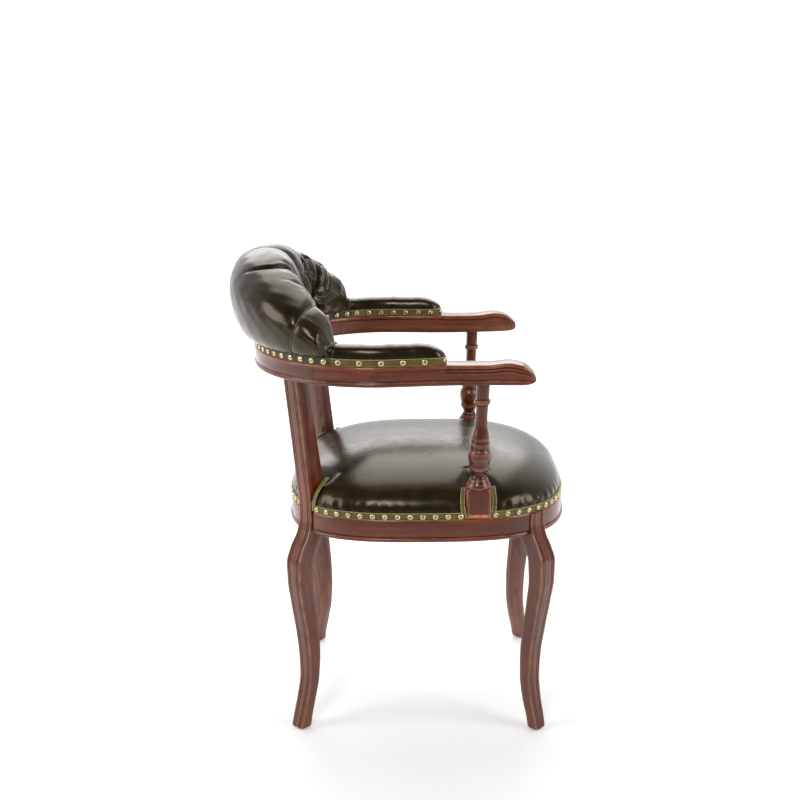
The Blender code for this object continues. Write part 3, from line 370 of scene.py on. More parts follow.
def cloth_material(name, colour, pitch):
    """Plain woven cloth of a given thread pitch."""
    g = Graph(name)
    place = g.add("TexCoord", 3)
    waves = []
    for direction in ("X", "Y"):
        waves.append(g.add("TexWave", 1, Vector=place, Scale=0.3 / pitch, Distortion=0.4,
                           settings={"bands_direction": direction}))
    weave = g.math("MULTIPLY", waves[0], waves[1])
    shade = g.mix(weave, tuple(0.5 * c for c in colour), tuple(1.5 * c for c in colour))
    wear_and_highlight = g.ramp(g.noise(place, 20.0), (0.3, 0.4), (0.7, 0.0))
    shade = g.mix(wear_and_highlight, shade, tuple(0.4 * c for c in colour))
    return g.finish(Base_Color=shade, Roughness=0.9, Normal=g.bump(weave, 0.4, 0.0003))


def plain_material(name, low, high, scale, rough, metallic=0.0, stretch=(1.0, 1.0, 1.0)):
    """Two-tone speckled finish for hidden and small parts."""
    g = Graph(name)
    place = g.scaled(g.add("TexCoord", 3), stretch)
    spots = g.noise(place, scale, 5.0, 0.6)
    colour = g.mix(g.ramp(spots, (0.35, 0.0), (0.65, 1.0)), low, high)
    gloss = g.ramp(g.noise(place, 2.3 * scale), (0.3, rough - 0.06), (0.7, rough + 0.08))
    return g.finish(Base_Color=colour, Roughness=gloss, Metallic=metallic, Normal=g.bump(spots, 0.12, 0.0004))


MAHOGANY = wood_material("mahogany", (0.055, 0.0090, 0.0030), (0.140, 0.0275, 0.0085),
                         (0.290, 0.0720, 0.0220))
LEATHER = leather_material("leather", (0.0082, 0.0055, 0.0014), (0.0190, 0.0130, 0.0033), 0.22)
# Welt leather is paler: partly wear, partly painted highlight on the raised piping.
WELT = leather_material("leather_welt", (0.030, 0.026, 0.013), (0.075, 0.066, 0.034), 0.36)
GIMP_BRIGHT = gimp_material("gimp_bright", (0.115, 0.088, 0.009), (0.46, 0.37, 0.13))
# A darker copy of the braid for the bow, which the roll overhangs: painted shade.
GIMP_PAINTED_SHADE = gimp_material("gimp_painted_shade", (0.028, 0.024, 0.008), (0.24, 0.21, 0.10))
BRASS = brass_material()
CAMBRIC = cloth_material("cambric", (0.012, 0.012, 0.013), 0.0011)
PLYWOOD = plain_material("plywood", (0.42, 0.28, 0.15), (0.60, 0.44, 0.27), 16.0, 0.7, 0.0, (1.0, 12.0, 1.0))
BEECH = plain_material("beech", (0.42, 0.25, 0.13), (0.58, 0.39, 0.22), 40.0, 0.62, 0.0, (1.0, 1.0, 9.0))
STEEL = plain_material("zinc_steel", (0.42, 0.42, 0.43), (0.66, 0.66, 0.67), 300.0, 0.34, 1.0)
NYLON = plain_material("nylon", (0.030, 0.024, 0.020), (0.060, 0.050, 0.042), 220.0, 0.5)


# ---------------------------------------------------------------- building
def place_mesh(name, points, faces, material, tone=None, grain=None, sharp=38.0):
    """A mesh piece from arrays, shifted onto the frame, with its 'tone' and 'grain' attributes."""
    mesh = bpy.data.meshes.new(name)
    points = np.asarray(points, float).reshape(-1, 3).copy()
    points[:, 1] -= ORIGIN_Y
    mesh.from_pydata(points.tolist(), [], faces)
    work = bmesh.new()
    work.from_mesh(mesh)
    bmesh.ops.recalc_face_normals(work, faces=work.faces)
    work.to_mesh(mesh)
    work.free()
    count = len(points)
    kinds = (("tone", "FLOAT", tone, "value"), ("grain", "FLOAT_VECTOR", grain, "vector"))
    for title, kind, values, key in kinds:
        if values is not None:
            attribute = mesh.attributes.new(title, kind, "POINT")
            attribute.data.foreach_set(key, np.asarray(values, np.float32).reshape(count, -1).ravel())
    mesh.shade_smooth()
    if sharp:
        mesh.set_sharp_from_angle(angle=math.radians(sharp))
    mesh.materials.append(material)
    piece = bpy.data.objects.new(name, mesh)
    bpy.context.scene.collection.objects.link(piece)
    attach(piece, "root")
    return piece


def skin_arrays(rings, closed_path=False, caps=True, offset=0):
    """Faces between equal closed rings of points, plus end caps."""
    n, m = rings.shape[:2]
    i = np.arange(n if closed_path else n - 1)[:, None]
    j = np.arange(m)[None, :]
    k = (j + 1) % m
    up = (i + 1) % n
    faces = (np.stack([i * m + j, i * m + k, up * m + k, up * m + j], -1).reshape(-1, 4) + offset).tolist()
    if caps and not closed_path:
        faces.append([offset + a for a in range(m)][::-1])
        faces.append([offset + (n - 1) * m + a for a in range(m)])
    return faces


def grain_of(rings, seed):
    """Distance along the piece, distance round it, and a seed."""
    along = run_along(rings.mean(1))
    around = np.concatenate([np.zeros((len(rings), 1)),
                             np.cumsum(np.linalg.norm(np.diff(rings, axis=1), axis=2), axis=1)], axis=1)
    grain = np.empty(rings.shape)
    grain[..., 0] = along[:, None] + seed
    grain[..., 1] = around + 0.37 * seed
    grain[..., 2] = seed
    return grain


def skin(name, rings, material, tone=None, seed=0.0, closed_path=False, sharp=38.0):
    """One body skinned over rings of points."""
    rings = np.asarray(rings, float)
    if tone is None:
        tone = np.zeros(rings.shape[:2])
    tone = np.broadcast_to(np.asarray(tone, float), rings.shape[:2])
    return place_mesh(name, rings, skin_arrays(rings, closed_path), material, tone,
                      grain_of(rings, seed), sharp)


def tube_rings(path, radius, sides=8):
    """Rings of a round tube along a polyline."""
    path = np.asarray(path, float)
    ahead = np.gradient(path, axis=0)
    ahead /= np.linalg.norm(ahead, axis=1)[:, None]
    up = np.tile(np.array([0.0, 0.0, 1.0]), (len(path), 1))
    steep = np.abs(ahead[:, 2]) > 0.93
    up[steep] = (1.0, 0.0, 0.0)
    side = np.cross(ahead, up)
    side /= np.linalg.norm(side, axis=1)[:, None]
    up = np.cross(side, ahead)
    angle = ROUND * np.arange(sides) / sides
    ring = side[:, None, :] * np.cos(angle)[None, :, None] + up[:, None, :] * np.sin(angle)[None, :, None]
    radius = np.broadcast_to(np.asarray(radius, float), (len(path),))
    return path[:, None, :] + ring * radius[:, None, None]


def merged(name, groups, material, sharp=38.0):
    """Several skinned bodies in one piece: rows of rings and tone."""
    points, faces, tones, grains = [], [], [], []
    start = 0
    for index, (rings, tone) in enumerate(groups):
        rings = np.asarray(rings, float)
        faces += skin_arrays(rings, offset=start)
        points.append(rings.reshape(-1, 3))
        tones.append(np.broadcast_to(np.asarray(tone, float), rings.shape[:2]).ravel())
        grains.append(grain_of(rings, 0.7 * index).reshape(-1, 3))
        start += len(points[-1])
    return place_mesh(name, np.concatenate(points), faces, material, np.concatenate(tones),
                      np.concatenate(grains), sharp)


def grid_faces(cells):
    """Faces of a square grid of points, row by row."""
    width = cells + 1
    corners = [i * width + j for i in range(cells) for j in range(cells)]
    return [(a, a + width, a + width + 1, a + 1) for a in corners]


def grid_border(cells):
    """The outer points of such a grid, in order round it."""
    width = cells + 1
    border = [i * width for i in range(cells)] + [cells * width + j for j in range(cells)]
    return border + [i * width + cells for i in range(cells, 0, -1)] + list(range(cells, 0, -1))


def grid_places(cells):
    """Angle and level of such a grid's points, when its square is drawn onto a rounded plan."""
    half = cells // 2
    places = []
    for i in range(cells + 1):
        for j in range(cells + 1):
            p, q = (i - half) / half, (j - half) / half
            level = max(abs(p), abs(q))
            places.append((math.atan2(q, p) if level > 0.0 else 0.0, level))
    return places


def subdivided(piece):
    modifier = piece.modifiers.new("smooth", "SUBSURF")
    modifier.levels = 1
    modifier.render_levels = 1


def arc(centre, radius, first, last, steps, tone=0.0):
    """Points of an arc in a section: offset, height, tone."""
    rows = []
    for i in range(steps + 1):
        a = math.radians(first + (last - first) * i / steps)
        rows.append((centre[0] + radius[0] * math.cos(a), centre[1] + radius[1] * math.sin(a), tone))
    return rows


# ---------------------------------------------------------------- seat frame
def seat_point(angle, offset=0.0):
    a, b = SEAT_A + offset, SEAT_B + offset
    return (a * power(math.cos(angle), 2.0 / SEAT_N), SEAT_Y + b * power(math.sin(angle), 2.0 / SEAT_N))


def seat_outward(angle):
    return unit(np.array(seat_point(angle, PROBE)) - np.array(seat_point(angle, -PROBE)))


def leg_frame(side, front):
    """Foot centre, outward diagonal and the direction across a leg."""
    low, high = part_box("glide_%s_%s" % ("front" if front else "rear", side_name(side)))
    out = np.array([side, -1.0 if front else 1.0]) / math.sqrt(2.0)
    across = np.array([-out[1], out[0]])
    centre = np.array([0.5 * (low.x + high.x), 0.5 * (low.y + high.y) + ORIGIN_Y])
    return centre - FOOT_SHIFT * out, out, across


def angle_at_leg(side, front, offset, distance):
    """Angle where the seat's plan is a given distance across from a leg's middle plane."""
    foot, out, across = leg_frame(side, front)
    middle = math.atan2(out[1], out[0])
    turn = 1.0 if distance > 0.0 else -1.0
    low, high = 0.0, math.radians(80.0)
    for _ in range(40):
        mid = 0.5 * (low + high)
        point = np.array(seat_point(middle + turn * mid, offset))
        if float((point - foot) @ across) * turn < abs(distance):
            low = mid
        else:
            high = mid
    return middle + turn * 0.5 * (low + high)


def rail_outline(bead):
    """Rail section: offset, height, tone; bead is 1 along the rail and 0 beside the legs."""
    low, ledge, top = RAIL_LOW, RAIL_LEDGE, RAIL_TOP
    proud = BEAD_PROUD * bead
    rows = [(-RAIL_THICK, low, 0.0), (-0.012, low, 0.0), (-0.0012, low, 0.4 * bead)]
    centre = (proud - 0.0030, low + 0.5 * BEAD_HEIGHT)
    rows += arc(centre, (0.0030, 0.48 * BEAD_HEIGHT), -80.0, 20.0, 4, 0.15 * bead)
    rows += arc(centre, (0.0030, 0.48 * BEAD_HEIGHT), 45.0, 80.0, 2, 0.9 * bead)
    above = low + BEAD_HEIGHT
    rows += [(-0.0014 * bead, above + 0.0004, -1.0 * bead), (-0.0002, above + 0.0016, -0.2 * bead)]
    rows += [(0.0, above + 0.0050, 0.0), (0.0, 0.5 * (low + ledge), 0.0), (0.0, ledge - 0.0030, 0.0)]
    rows += [(-0.0002, ledge - 0.0012, 0.5), (-0.0010, ledge, 1.0), (-REBATE, ledge, -0.6)]
    rows += [(-REBATE, top, 0.0), (-RAIL_THICK, top, 0.0)]
    return rows


def make_rail(node, start_leg, end_leg, seed):
    """One moulded rail of the seat's ring, cut to fit between two legs; its bead stops short of them."""
    steps = 72
    ends = []
    for offset in np.linspace(-RAIL_THICK, BEAD_PROUD, 12):
        pair = []
        for (side, front), turn in ((start_leg, 1.0), (end_leg, -1.0)):
            width = LEG_HEAD_W if front else REAR_HEAD_W
            pair.append(angle_at_leg(side, front, offset, turn * (0.5 * width + GAP)))
        while pair[1] < pair[0]:
            pair[1] += 2.0 * math.pi
        ends.append((offset, *pair))
    ends = np.array(ends)
    rings, tones = [], []
    for step in range(steps + 1):
        share = step / steps
        from_end = min(share, 1.0 - share) * (ends[-1, 2] - ends[-1, 1]) * SEAT_A
        bead = float(smoothstep(0.007, 0.0095, from_end))
        ring, tone = [], []
        for offset, z, value in rail_outline(bead):
            first = np.interp(offset, ends[:, 0], ends[:, 1])
            last = np.interp(offset, ends[:, 0], ends[:, 2])
            ring.append((*seat_point(first + share * (last - first), offset), z))
            tone.append(value)
        rings.append(ring)
        tones.append(tone)
    piece = skin(node + "_moulded", rings, MAHOGANY, tones, seed)
    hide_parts(node)


# ---------------------------------------------------------------- legs
def leg_outline(depth, width, flutes=1.0):
    """A leg's slice: along the diagonal, across it, tone.  The outer face carries two pairs of flutes."""
    d, w = 0.5 * depth, 0.5 * width
    ease = 0.0016
    rows = [(-d + ease, -w, 0.0), (-0.3 * d, -w, 0.0), (0.4 * d, -w, 0.0), (d - 2.0 * ease, -w, 0.15)]
    rows += [(d - ease, -w + 0.1 * ease, 0.8), (d - 0.3 * ease, -w + 0.3 * ease, 1.0), (d, -w + ease, 0.8)]
    cut = 0.0011 * flutes
    for sign in (-1.0, 1.0):
        spots = (w - 0.0052, w - 0.0092) if sign < 0.0 else (w - 0.0092, w - 0.0052)
        for spot in spots:
            middle = sign * spot
            rows += [(d, middle - 0.0011, 0.35 * flutes), (d - cut, middle - 0.0003, -1.0 * flutes)]
            rows += [(d - cut, middle + 0.0003, -1.0 * flutes), (d, middle + 0.0011, 0.35 * flutes)]
        if sign < 0.0:
            rows.append((d + 0.0002, 0.0, 0.0))
    rows += [(d, w - ease, 0.8), (d - 0.3 * ease, w - 0.3 * ease, 1.0), (d - ease, w - 0.1 * ease, 0.8)]
    rows += [(d - 2.0 * ease, w, 0.15), (0.4 * d, w, 0.0), (-0.3 * d, w, 0.0), (-d + ease, w, 0.0)]
    rows += [(-d + 0.3 * ease, w - 0.3 * ease, 0.9), (-d, w - ease, 0.6), (-d, 0.0, 0.0)]
    rows += [(-d, -w + ease, 0.6), (-d + 0.3 * ease, -w + 0.3 * ease, 0.9)]
    return rows


def leg_rings(side, front, levels):
    """Rings and tones from rows of height, shift, depth, width, flutes."""
    foot, out, across = leg_frame(side, front)
    rings, tones = [], []
    for z, shift, depth, width, flutes in levels:
        ring, tone = [], []
        for along, over, value in leg_outline(depth, width, flutes):
            point = foot + out * (shift + along) + across * over
            ring.append((point[0], point[1], z))
            tone.append(value)
        rings.append(ring)
        tones.append(tone)
    return rings, tones


def make_leg(side, front, seed):
    """A cabriole leg from its glide up; a rear leg runs on as the post under the bow."""
    label = side_name(side)
    low = 0.0023                # top of the glide
    levels = []
    top = FRONT_LEG[-1][0] if front else REAR_POST_FOOT[0]
    table = FRONT_LEG if front else REAR_LEG
    steps = 90
    for i in range(steps + 1):
        z = low + (top - low) * i / steps
        shift, depth, width = smooth_table(table, z)
        chamfer = 0.0016 * (1.0 - float(smoothstep(0.0, 0.0025, z - low)))
        levels.append((z, shift, depth - chamfer, width - chamfer, 1.0))
    if front:
        shift, depth, width = table[-1][1:]
        levels.append((RAIL_LEDGE - 0.0010, shift, depth, width, 1.0))
        levels.append((RAIL_LEDGE, shift - 0.0004, depth - 0.0010, width - 0.0010, 1.0))
        inner = (shift - 0.5 * LEG_REBATE, depth - LEG_REBATE - 0.001, width - 0.0012, 0.0)
        levels += [(RAIL_LEDGE, *inner), (RAIL_TOP, *inner)]
        node = "front_leg_" + label
    else:
        for i in range(1, 41):
            share = i / 40
            row = [a + share * (b - a) for a, b in zip(REAR_POST_FOOT, REAR_POST_HEAD)]
            levels.append((row[0] - GAP * share, *row[1:], 1.0))
        node = "rear_leg_" + label
    rings, tones = leg_rings(side, front, levels)
    piece = skin(node + "_shaped", rings, MAHOGANY, tones, seed)
    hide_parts(node)


# ---------------------------------------------------------------- bow and arms
def bow_point(degrees, offset):
    """A place on the bow's plan, counted from the sitter's left, beside its centre line."""
    t = math.radians(degrees)
    a = BOW_A - 0.5 * BOW_WIDTH + offset
    b = BOW_B - 0.5 * BOW_WIDTH + offset
    return (a * power(math.cos(t), 2.0 / BOW_N), BOW_Y + b * power(math.sin(t), 2.0 / BOW_N))


def bow_outward(degrees):
    return unit(np.array(bow_point(degrees, PROBE)) - np.array(bow_point(degrees, -PROBE)))


def arm_line(y):
    """Distance of an arm's centre line from the middle plane."""
    return BOW_A - 0.5 * BOW_WIDTH - smooth_table(ARM, y)[0]


def arm_at(y, offset, side):
    """A place beside an arm's centre line."""
    step = 0.0010
    slope = (arm_line(y - step) - arm_line(y + step)) / (2.0 * step)
    length = math.hypot(1.0, slope)
    return (side * (arm_line(y) + offset / length), y + offset * slope / length)


def arm_outline(half, low, high, grip):
    """Moulded section of bow and arm: offset, height, tone.  The grip has two grooves under its top edge."""
    k = min(1.0, (high - low) / 0.0345)
    rows = [(-half + 0.0030, low, 0.0), (0.0, low, 0.0), (half - 0.0040, low, 0.0)]
    rows += arc((half - 0.0032, low + 0.0041 * k), (0.0034, 0.0039 * k), -80.0, 20.0, 5, 0.1)
    rows += arc((half - 0.0032, low + 0.0041 * k), (0.0034, 0.0039 * k), 45.0, 85.0, 2, 1.0)
    rows += [(half - 0.0032, low + 0.0086 * k, -1.0), (half - 0.0016, low + 0.0098 * k, -0.6)]
    rows += [(half - 0.0012, low + 0.0120 * k, 0.0), (half - 0.0010, 0.5 * (low + high), 0.0)]
    for drop in (0.0128, 0.0074):
        depth = 0.0016 * grip
        rows += [(half - 0.0009, high - (drop + 0.0010) * k, 0.5 * grip)]
        rows += [(half - 0.0009 - depth, high - drop * k, -grip)]
        rows += [(half - 0.0009 - depth, high - (drop - 0.0004) * k, -grip)]
        rows += [(half - 0.0007, high - (drop - 0.0016) * k, 0.6 * grip)]
    rows += arc((half - 0.0042, high - 0.0040 * k), (0.0038, 0.0040 * k), 10.0, 80.0, 5, 0.7)
    rows += [(half - 0.0075, high + 0.0001, 0.1), (0.0, high + 0.0002, 0.0)]
    rows += [(-half + 0.0075, high + 0.0001, 0.1)]
    rows += arc((-half + 0.0042, high - 0.0040 * k), (0.0040, 0.0040 * k), 100.0, 170.0, 4, 0.7)
    rows += [(-half + 0.0002, high - 0.0075 * k, 0.1), (-half + 0.0013, high - 0.0085 * k, -0.9)]
    rows += [(-half + 0.0002, high - 0.0097 * k, 0.3), (-half, 0.5 * (low + high), 0.0)]
    rows += [(-half, low + 0.0040 * k, 0.2), (-half + 0.0010, low + 0.0010 * k, 0.8)]
    return rows


def make_bow():
    """The rear part of the top rail, between its two joints with the arms."""
    rings, tones = [], []
    for i in range(161):
        degrees = BOW_JOINT + (180.0 - 2.0 * BOW_JOINT) * i / 160
        outline = arm_outline(0.5 * BOW_WIDTH, BOW_LOW, BOW_TOP, 0.0)
        rings.append([(*bow_point(degrees, offset), z) for offset, z, _ in outline])
        tones.append([value for _, _, value in outline])
    piece = skin("bow_rear_moulded", rings, MAHOGANY, tones, 3.1)
    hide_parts("bow_rear")


def make_arm(side, label, seed):
    """An arm from the bow's joint to its grooved grip and lowered tip."""
    rings, tones = [], []
    for i in range(28):
        degrees = (BOW_JOINT - 0.12) * (1.0 - i / 28)
        outline = arm_outline(0.5 * BOW_WIDTH, BOW_LOW, BOW_TOP, 0.0)
        row = [(*bow_point(degrees, offset), z) for offset, z, _ in outline]
        rings.append([(side * x, y, z) for x, y, z in row])
        tones.append([value for _, _, value in outline])
    length = ARM[0][0] - ARM[-1][0]
    for i in range(111):
        share = i / 110
        y = ARM[0][0] - length * (share + 0.06 * math.sin(math.pi * share))
        y = max(y, ARM[-1][0]) if i < 110 else ARM[-1][0]
        _, narrow, rise, lift = smooth_table(ARM, y)
        half = 0.5 * BOW_WIDTH - narrow
        grip = float(smoothstep(-0.060, -0.100, y) * smoothstep(-0.2290, -0.2180, y))
        outline = arm_outline(half, BOW_LOW + rise, BOW_TOP + lift, grip)
        rings.append([(*arm_at(y, offset, side), z) for offset, z, _ in outline])
        tones.append([value for _, _, value in outline])
    piece = skin("arm_%s_moulded" % label, rings, MAHOGANY, tones, seed)
    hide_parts("arm_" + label)


# ---------------------------------------------------------------- arm posts
def post_axis(z, side):
    """The post leans from its block to its place under the arm."""
    share = max(0.0, (z - POST_BLOCK_TOP) / (BOW_LOW - POST_BLOCK_TOP))
    return (side * (POST_FOOT[0] + share * (arm_line(POST_HEAD_Y) - POST_FOOT[0])),
            POST_FOOT[1] + share * (POST_HEAD_Y - POST_FOOT[1]))


def make_post(side, label, seed):
    """Turned post: a square block whose shoulders are rounded by the lathe, then beads, vase and ring."""
    sides = 48
    rings, tones = [], []
    half = 0.5 * POST_BLOCK
    foot = (side * POST_FOOT[0], POST_FOOT[1])
    low = RAIL_LEDGE + GAP
    neck = 0.0215               # radius at which the lathe leaves the block
    angles = [ROUND * (k + 0.5) / sides for k in range(sides)]
    for i in range(36):
        z = low + (POST_BLOCK_TOP - low) * i / 35
        shoulder = math.sqrt(max(0.0, 1.0 - max(0.0, (z - POST_BLOCK_TOP + 0.013) / 0.0135) ** 2))
        limit = neck + (half * 1.40 - neck) * shoulder
        ring, tone = [], []
        for angle in angles:
            c, s = math.cos(angle), math.sin(angle)
            square = half / max(abs(c), abs(s))
            reach = min(square, limit)
            ring.append((foot[0] + reach * c, foot[1] + reach * s, z))
            # Painted highlight: the block's corners and its lathe-rounded shoulders get a paler tone.
            corner = 1.0 if square > 1.3 * half and reach > 1.25 * half else 0.0
            wear_and_highlight = 0.5 if square > limit else corner
            # Painted highlight: tone 2.2 makes a bright orange band low on the block's outward face.
            faces_out = c * side > 0.7
            highlight_band_tone = 2.2 if faces_out and 0.0025 < z - low < 0.0075 else wear_and_highlight
            tone.append(highlight_band_tone)
        rings.append(ring)
        tones.append(tone)
    rows = []
    for i in range(221):
        z = POST_BLOCK_TOP + (BOW_LOW - GAP - POST_BLOCK_TOP) * i / 220
        rows.append((z, smooth_table(POST_PROFILE, z)[0]))
    heights, radii = np.array(rows).T
    # Curvature as tone: convex rings get the painted edge highlight, hollows the dark antiquing.
    bend = np.gradient(np.gradient(radii, heights), heights)
    value = np.clip(-bend / 160.0, -1.0, 0.8)
    for z, radius, shade in zip(heights, radii, value):
        x, y = post_axis(z, side)
        rings.append([(x + radius * math.cos(a), y + radius * math.sin(a), z) for a in angles])
        tones.append([shade] * sides)
    piece = skin("arm_post_%s_turned" % label, rings, MAHOGANY, tones, seed)
    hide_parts("arm_post_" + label)


# ---------------------------------------------------------------- cloth
def settle(piece, pinned, pressure, cap, frames=16):
    """Settle a padded mesh by cloth simulation, cap how far each point moved and drop the modifier.

    The simulation moves the arm pads by less than 0.5 mm, and the seat not at all.
    """
    scene = bpy.context.scene
    group = piece.vertex_groups.new(name="pinned")
    group.add([int(i) for i in pinned], 1.0, "REPLACE")
    modifier = piece.modifiers.new("cloth", "CLOTH")
    settings = modifier.settings
    settings.quality = 4
    settings.mass = 0.3
    settings.tension_stiffness = 18.0
    settings.compression_stiffness = 18.0
    settings.bending_stiffness = 0.8
    settings.use_pressure = True
    settings.uniform_pressure_force = pressure
    settings.vertex_group_mass = "pinned"
    settings.effector_weights.gravity = 0.0
    modifier.point_cache.frame_start = 1
    modifier.point_cache.frame_end = frames
    rest = np.array([v.co for v in piece.data.vertices])
    for step in range(1, frames + 1):
        scene.frame_set(step)
    shown = piece.evaluated_get(bpy.context.evaluated_depsgraph_get())
    moved = np.array([v.co for v in shown.data.vertices]) - rest
    length = np.linalg.norm(moved, axis=1)[:, None]
    moved *= np.minimum(1.0, cap / np.maximum(length, 1e-9))
    piece.modifiers.remove(modifier)
    piece.vertex_groups.remove(group)
    scene.frame_set(1)
    piece.data.vertices.foreach_set("co", (rest + moved).astype(np.float32).ravel())
    piece.data.update()


def coordinates(piece):
    """A piece's points in drawing coordinates."""
    points = np.array([v.co for v in piece.data.vertices])
    points[:, 1] += ORIGIN_Y
    return points


def write_back(piece, points):
    points = points.copy()
    points[:, 1] -= ORIGIN_Y
    piece.data.vertices.foreach_set("co", points.astype(np.float32).ravel())
    piece.data.update()


# ---------------------------------------------------------------- seat upholstery
DOME_START = 0.93           # share of the rise that the mesh is given; the cloth adds nothing to it
DOME_PLAN = 0.78            # how fast the dome narrows as it rises
DOME_ROUND = 1.05           # how round its crown is


def dome_surface(angle, level, rise):
    """A point of the dome; level is 1 at the nailed edge and 0 at the crown."""
    share = math.sin(0.5 * math.pi * level) ** DOME_PLAN if level > 0.0 else 0.0
    x = (SEAT_A - COVER_SET) * share * power(math.cos(angle), 2.0 / SEAT_N)
    y = (SEAT_B - COVER_SET) * share * power(math.sin(angle), 2.0 / SEAT_N)
    return (x, SEAT_Y + y, RAIL_TOP + rise * max(0.0, math.cos(0.5 * math.pi * level)) ** DOME_ROUND)


def dome_level(z):
    """The dome's level at a height."""
    rise = min(1.0, max(0.0, (z - RAIL_TOP) / DOME_RISE))
    return math.acos(rise ** (1.0 / DOME_ROUND)) / (0.5 * math.pi)


def nail_angles(first, last, pitch, offset=0.0):
    """Evenly spaced places between two angles of the seat's plan."""
    fine = np.linspace(first, last, 600)
    run = run_along(np.array([seat_point(a, offset) for a in fine]))
    count = max(2, int(round((run[-1] - pitch) / pitch)) + 1)
    wanted = np.linspace(0.35 * pitch, run[-1] - 0.35 * pitch, count)
    return np.interp(wanted, run, fine)


def make_seat(spans):
    """The seat's leather over its foam: a dome, a nailed band, and a closed underside."""
    cells = 104
    width = cells + 1
    rise = DOME_RISE * DOME_START
    points = [dome_surface(angle, level, rise) for angle, level in grid_places(cells)]
    top = grid_faces(cells)
    faces = list(top)
    border = grid_border(cells)
    previous = border
    count = len(border)
    low = RAIL_LEDGE + GAP
    rows = [(0.0, RAIL_TOP - 0.004), (0.0, RAIL_TOP - 0.009), (0.0, low), (-0.0045, low), (-0.0045, RAIL_TOP)]
    for offset, z in rows:
        start = len(points)
        for index in border:
            x, y, _ = points[index]
            share = 1.0 + offset / SEAT_A
            points.append((x * share, SEAT_Y + (y - SEAT_Y) * share, z))
        for k in range(count):
            n = (k + 1) % count
            faces.append((previous[k], previous[n], start + n, start + k))
        previous = list(range(start, start + count))
    start = len(points)
    share = 1.0 + rows[-1][0] / SEAT_A
    for x, y, z in points[:width * width]:
        points.append((x * share, SEAT_Y + (y - SEAT_Y) * share, rows[-1][1] + 0.5 * (z - RAIL_TOP)))
    for k, a in enumerate(border):
        n = (k + 1) % count
        faces.append((previous[k], previous[n], start + border[n], start + a))
    faces += [tuple(start + v for v in face[::-1]) for face in top]
    points = np.array(points)
    piece = place_mesh("seat_leather", points, faces, LEATHER, np.zeros(len(points)), sharp=0.0)
    inner = np.arange(width * width).reshape(width, width)[2:-2, 2:-2].ravel()
    pinned = np.setdiff1d(np.arange(len(points)), inner)
    settle(piece, pinned, 4.0, 0.010)
    shape_seat(piece, spans)
    subdivided(piece)
    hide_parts("seat_cover", "seat_foam")


def shape_seat(piece, spans):
    """Puckers above the nails, and tucks round the arm posts and rear posts, with painted shade on the
    leather round each post.
    """
    points = coordinates(piece)
    tone = np.zeros(len(points))
    z = points[:, 2]
    flat = points[:, :2] - np.array([0.0, SEAT_Y])
    outward = flat / np.maximum(np.linalg.norm(flat, axis=1)[:, None], 1e-6)
    near_edge = smoothstep(0.050, 0.0, z - RAIL_TOP) * smoothstep(-0.004, 0.002, z - RAIL_TOP)
    nails = [a for first, last in spans for a in nail_angles(first, last, SEAT_PITCH)]
    spots = np.array([seat_point(a, -COVER_SET) for a in nails])
    distance = np.min(np.linalg.norm(points[:, None, :2] - spots[None, :, :], axis=2), axis=1)
    pull = 0.0011 * np.exp(-(distance / 0.0055) ** 2) * near_edge
    pull -= 0.0007 * smoothstep(0.006, 0.011, distance) * near_edge * smoothstep(0.02, 0.002, z - RAIL_TOP)
    points[:, :2] -= outward * pull[:, None]
    for side in (-1.0, 1.0):
        x, y = side * POST_FOOT[0], POST_FOOT[1]
        gap = np.maximum(np.abs(points[:, 0] - x), np.abs(points[:, 1] - y))
        reach = np.hypot(points[:, 0] - x, points[:, 1] - y)
        dip = np.exp(-(np.maximum(reach - 0.024, 0.0) / 0.011) ** 2) * (z > RAIL_TOP - 0.002)
        points[:, 2] -= 0.006 * dip * smoothstep(0.0, 0.03, z - RAIL_TOP)
        # Painted shade round the arm post's block.
        tone -= 0.6 * np.exp(-(np.maximum(gap - 0.0212, 0.0) / 0.0018) ** 2)
        behind = smoothstep(0.0225, 0.0195, np.abs(points[:, 1] - y)) * (np.abs(points[:, 0] - x) < 0.05)
        points[:, 0] -= side * 0.0075 * behind
        for turn in (-1.0, 1.0):
            spread = 0.034 + 0.25 * np.maximum(0.0, 0.245 - np.abs(points[:, 0]))
            fold = np.abs(points[:, 1] - (y + turn * spread))
            near = smoothstep(0.060, 0.0, np.hypot(points[:, 0] - side * 0.235, points[:, 1] - y))
            points[:, 2] -= 0.0035 * np.exp(-(fold / 0.006) ** 2) * near * (z > RAIL_TOP)
        foot, out, across = leg_frame(int(side), False)
        _, shift, post_depth, post_width = REAR_POST_FOOT
        offset = points[:, :2] - (foot + out * shift)
        gap = np.maximum(np.abs(offset @ out) - 0.5 * post_depth, np.abs(offset @ across) - 0.5 * post_width)
        dip = np.exp(-(np.maximum(gap, 0.0) / 0.012) ** 2) * (z > RAIL_TOP - 0.002)
        points[:, 2] -= 0.014 * dip * smoothstep(0.0, 0.03, z - RAIL_TOP)
        # Painted shade round the rear post.
        tone -= 0.9 * np.exp(-(np.maximum(gap, 0.0) / 0.0035) ** 2)
    attribute = piece.data.attributes["tone"]
    attribute.data.foreach_set("value", np.clip(tone, -1.0, 1.0).astype(np.float32))
    write_back(piece, points)


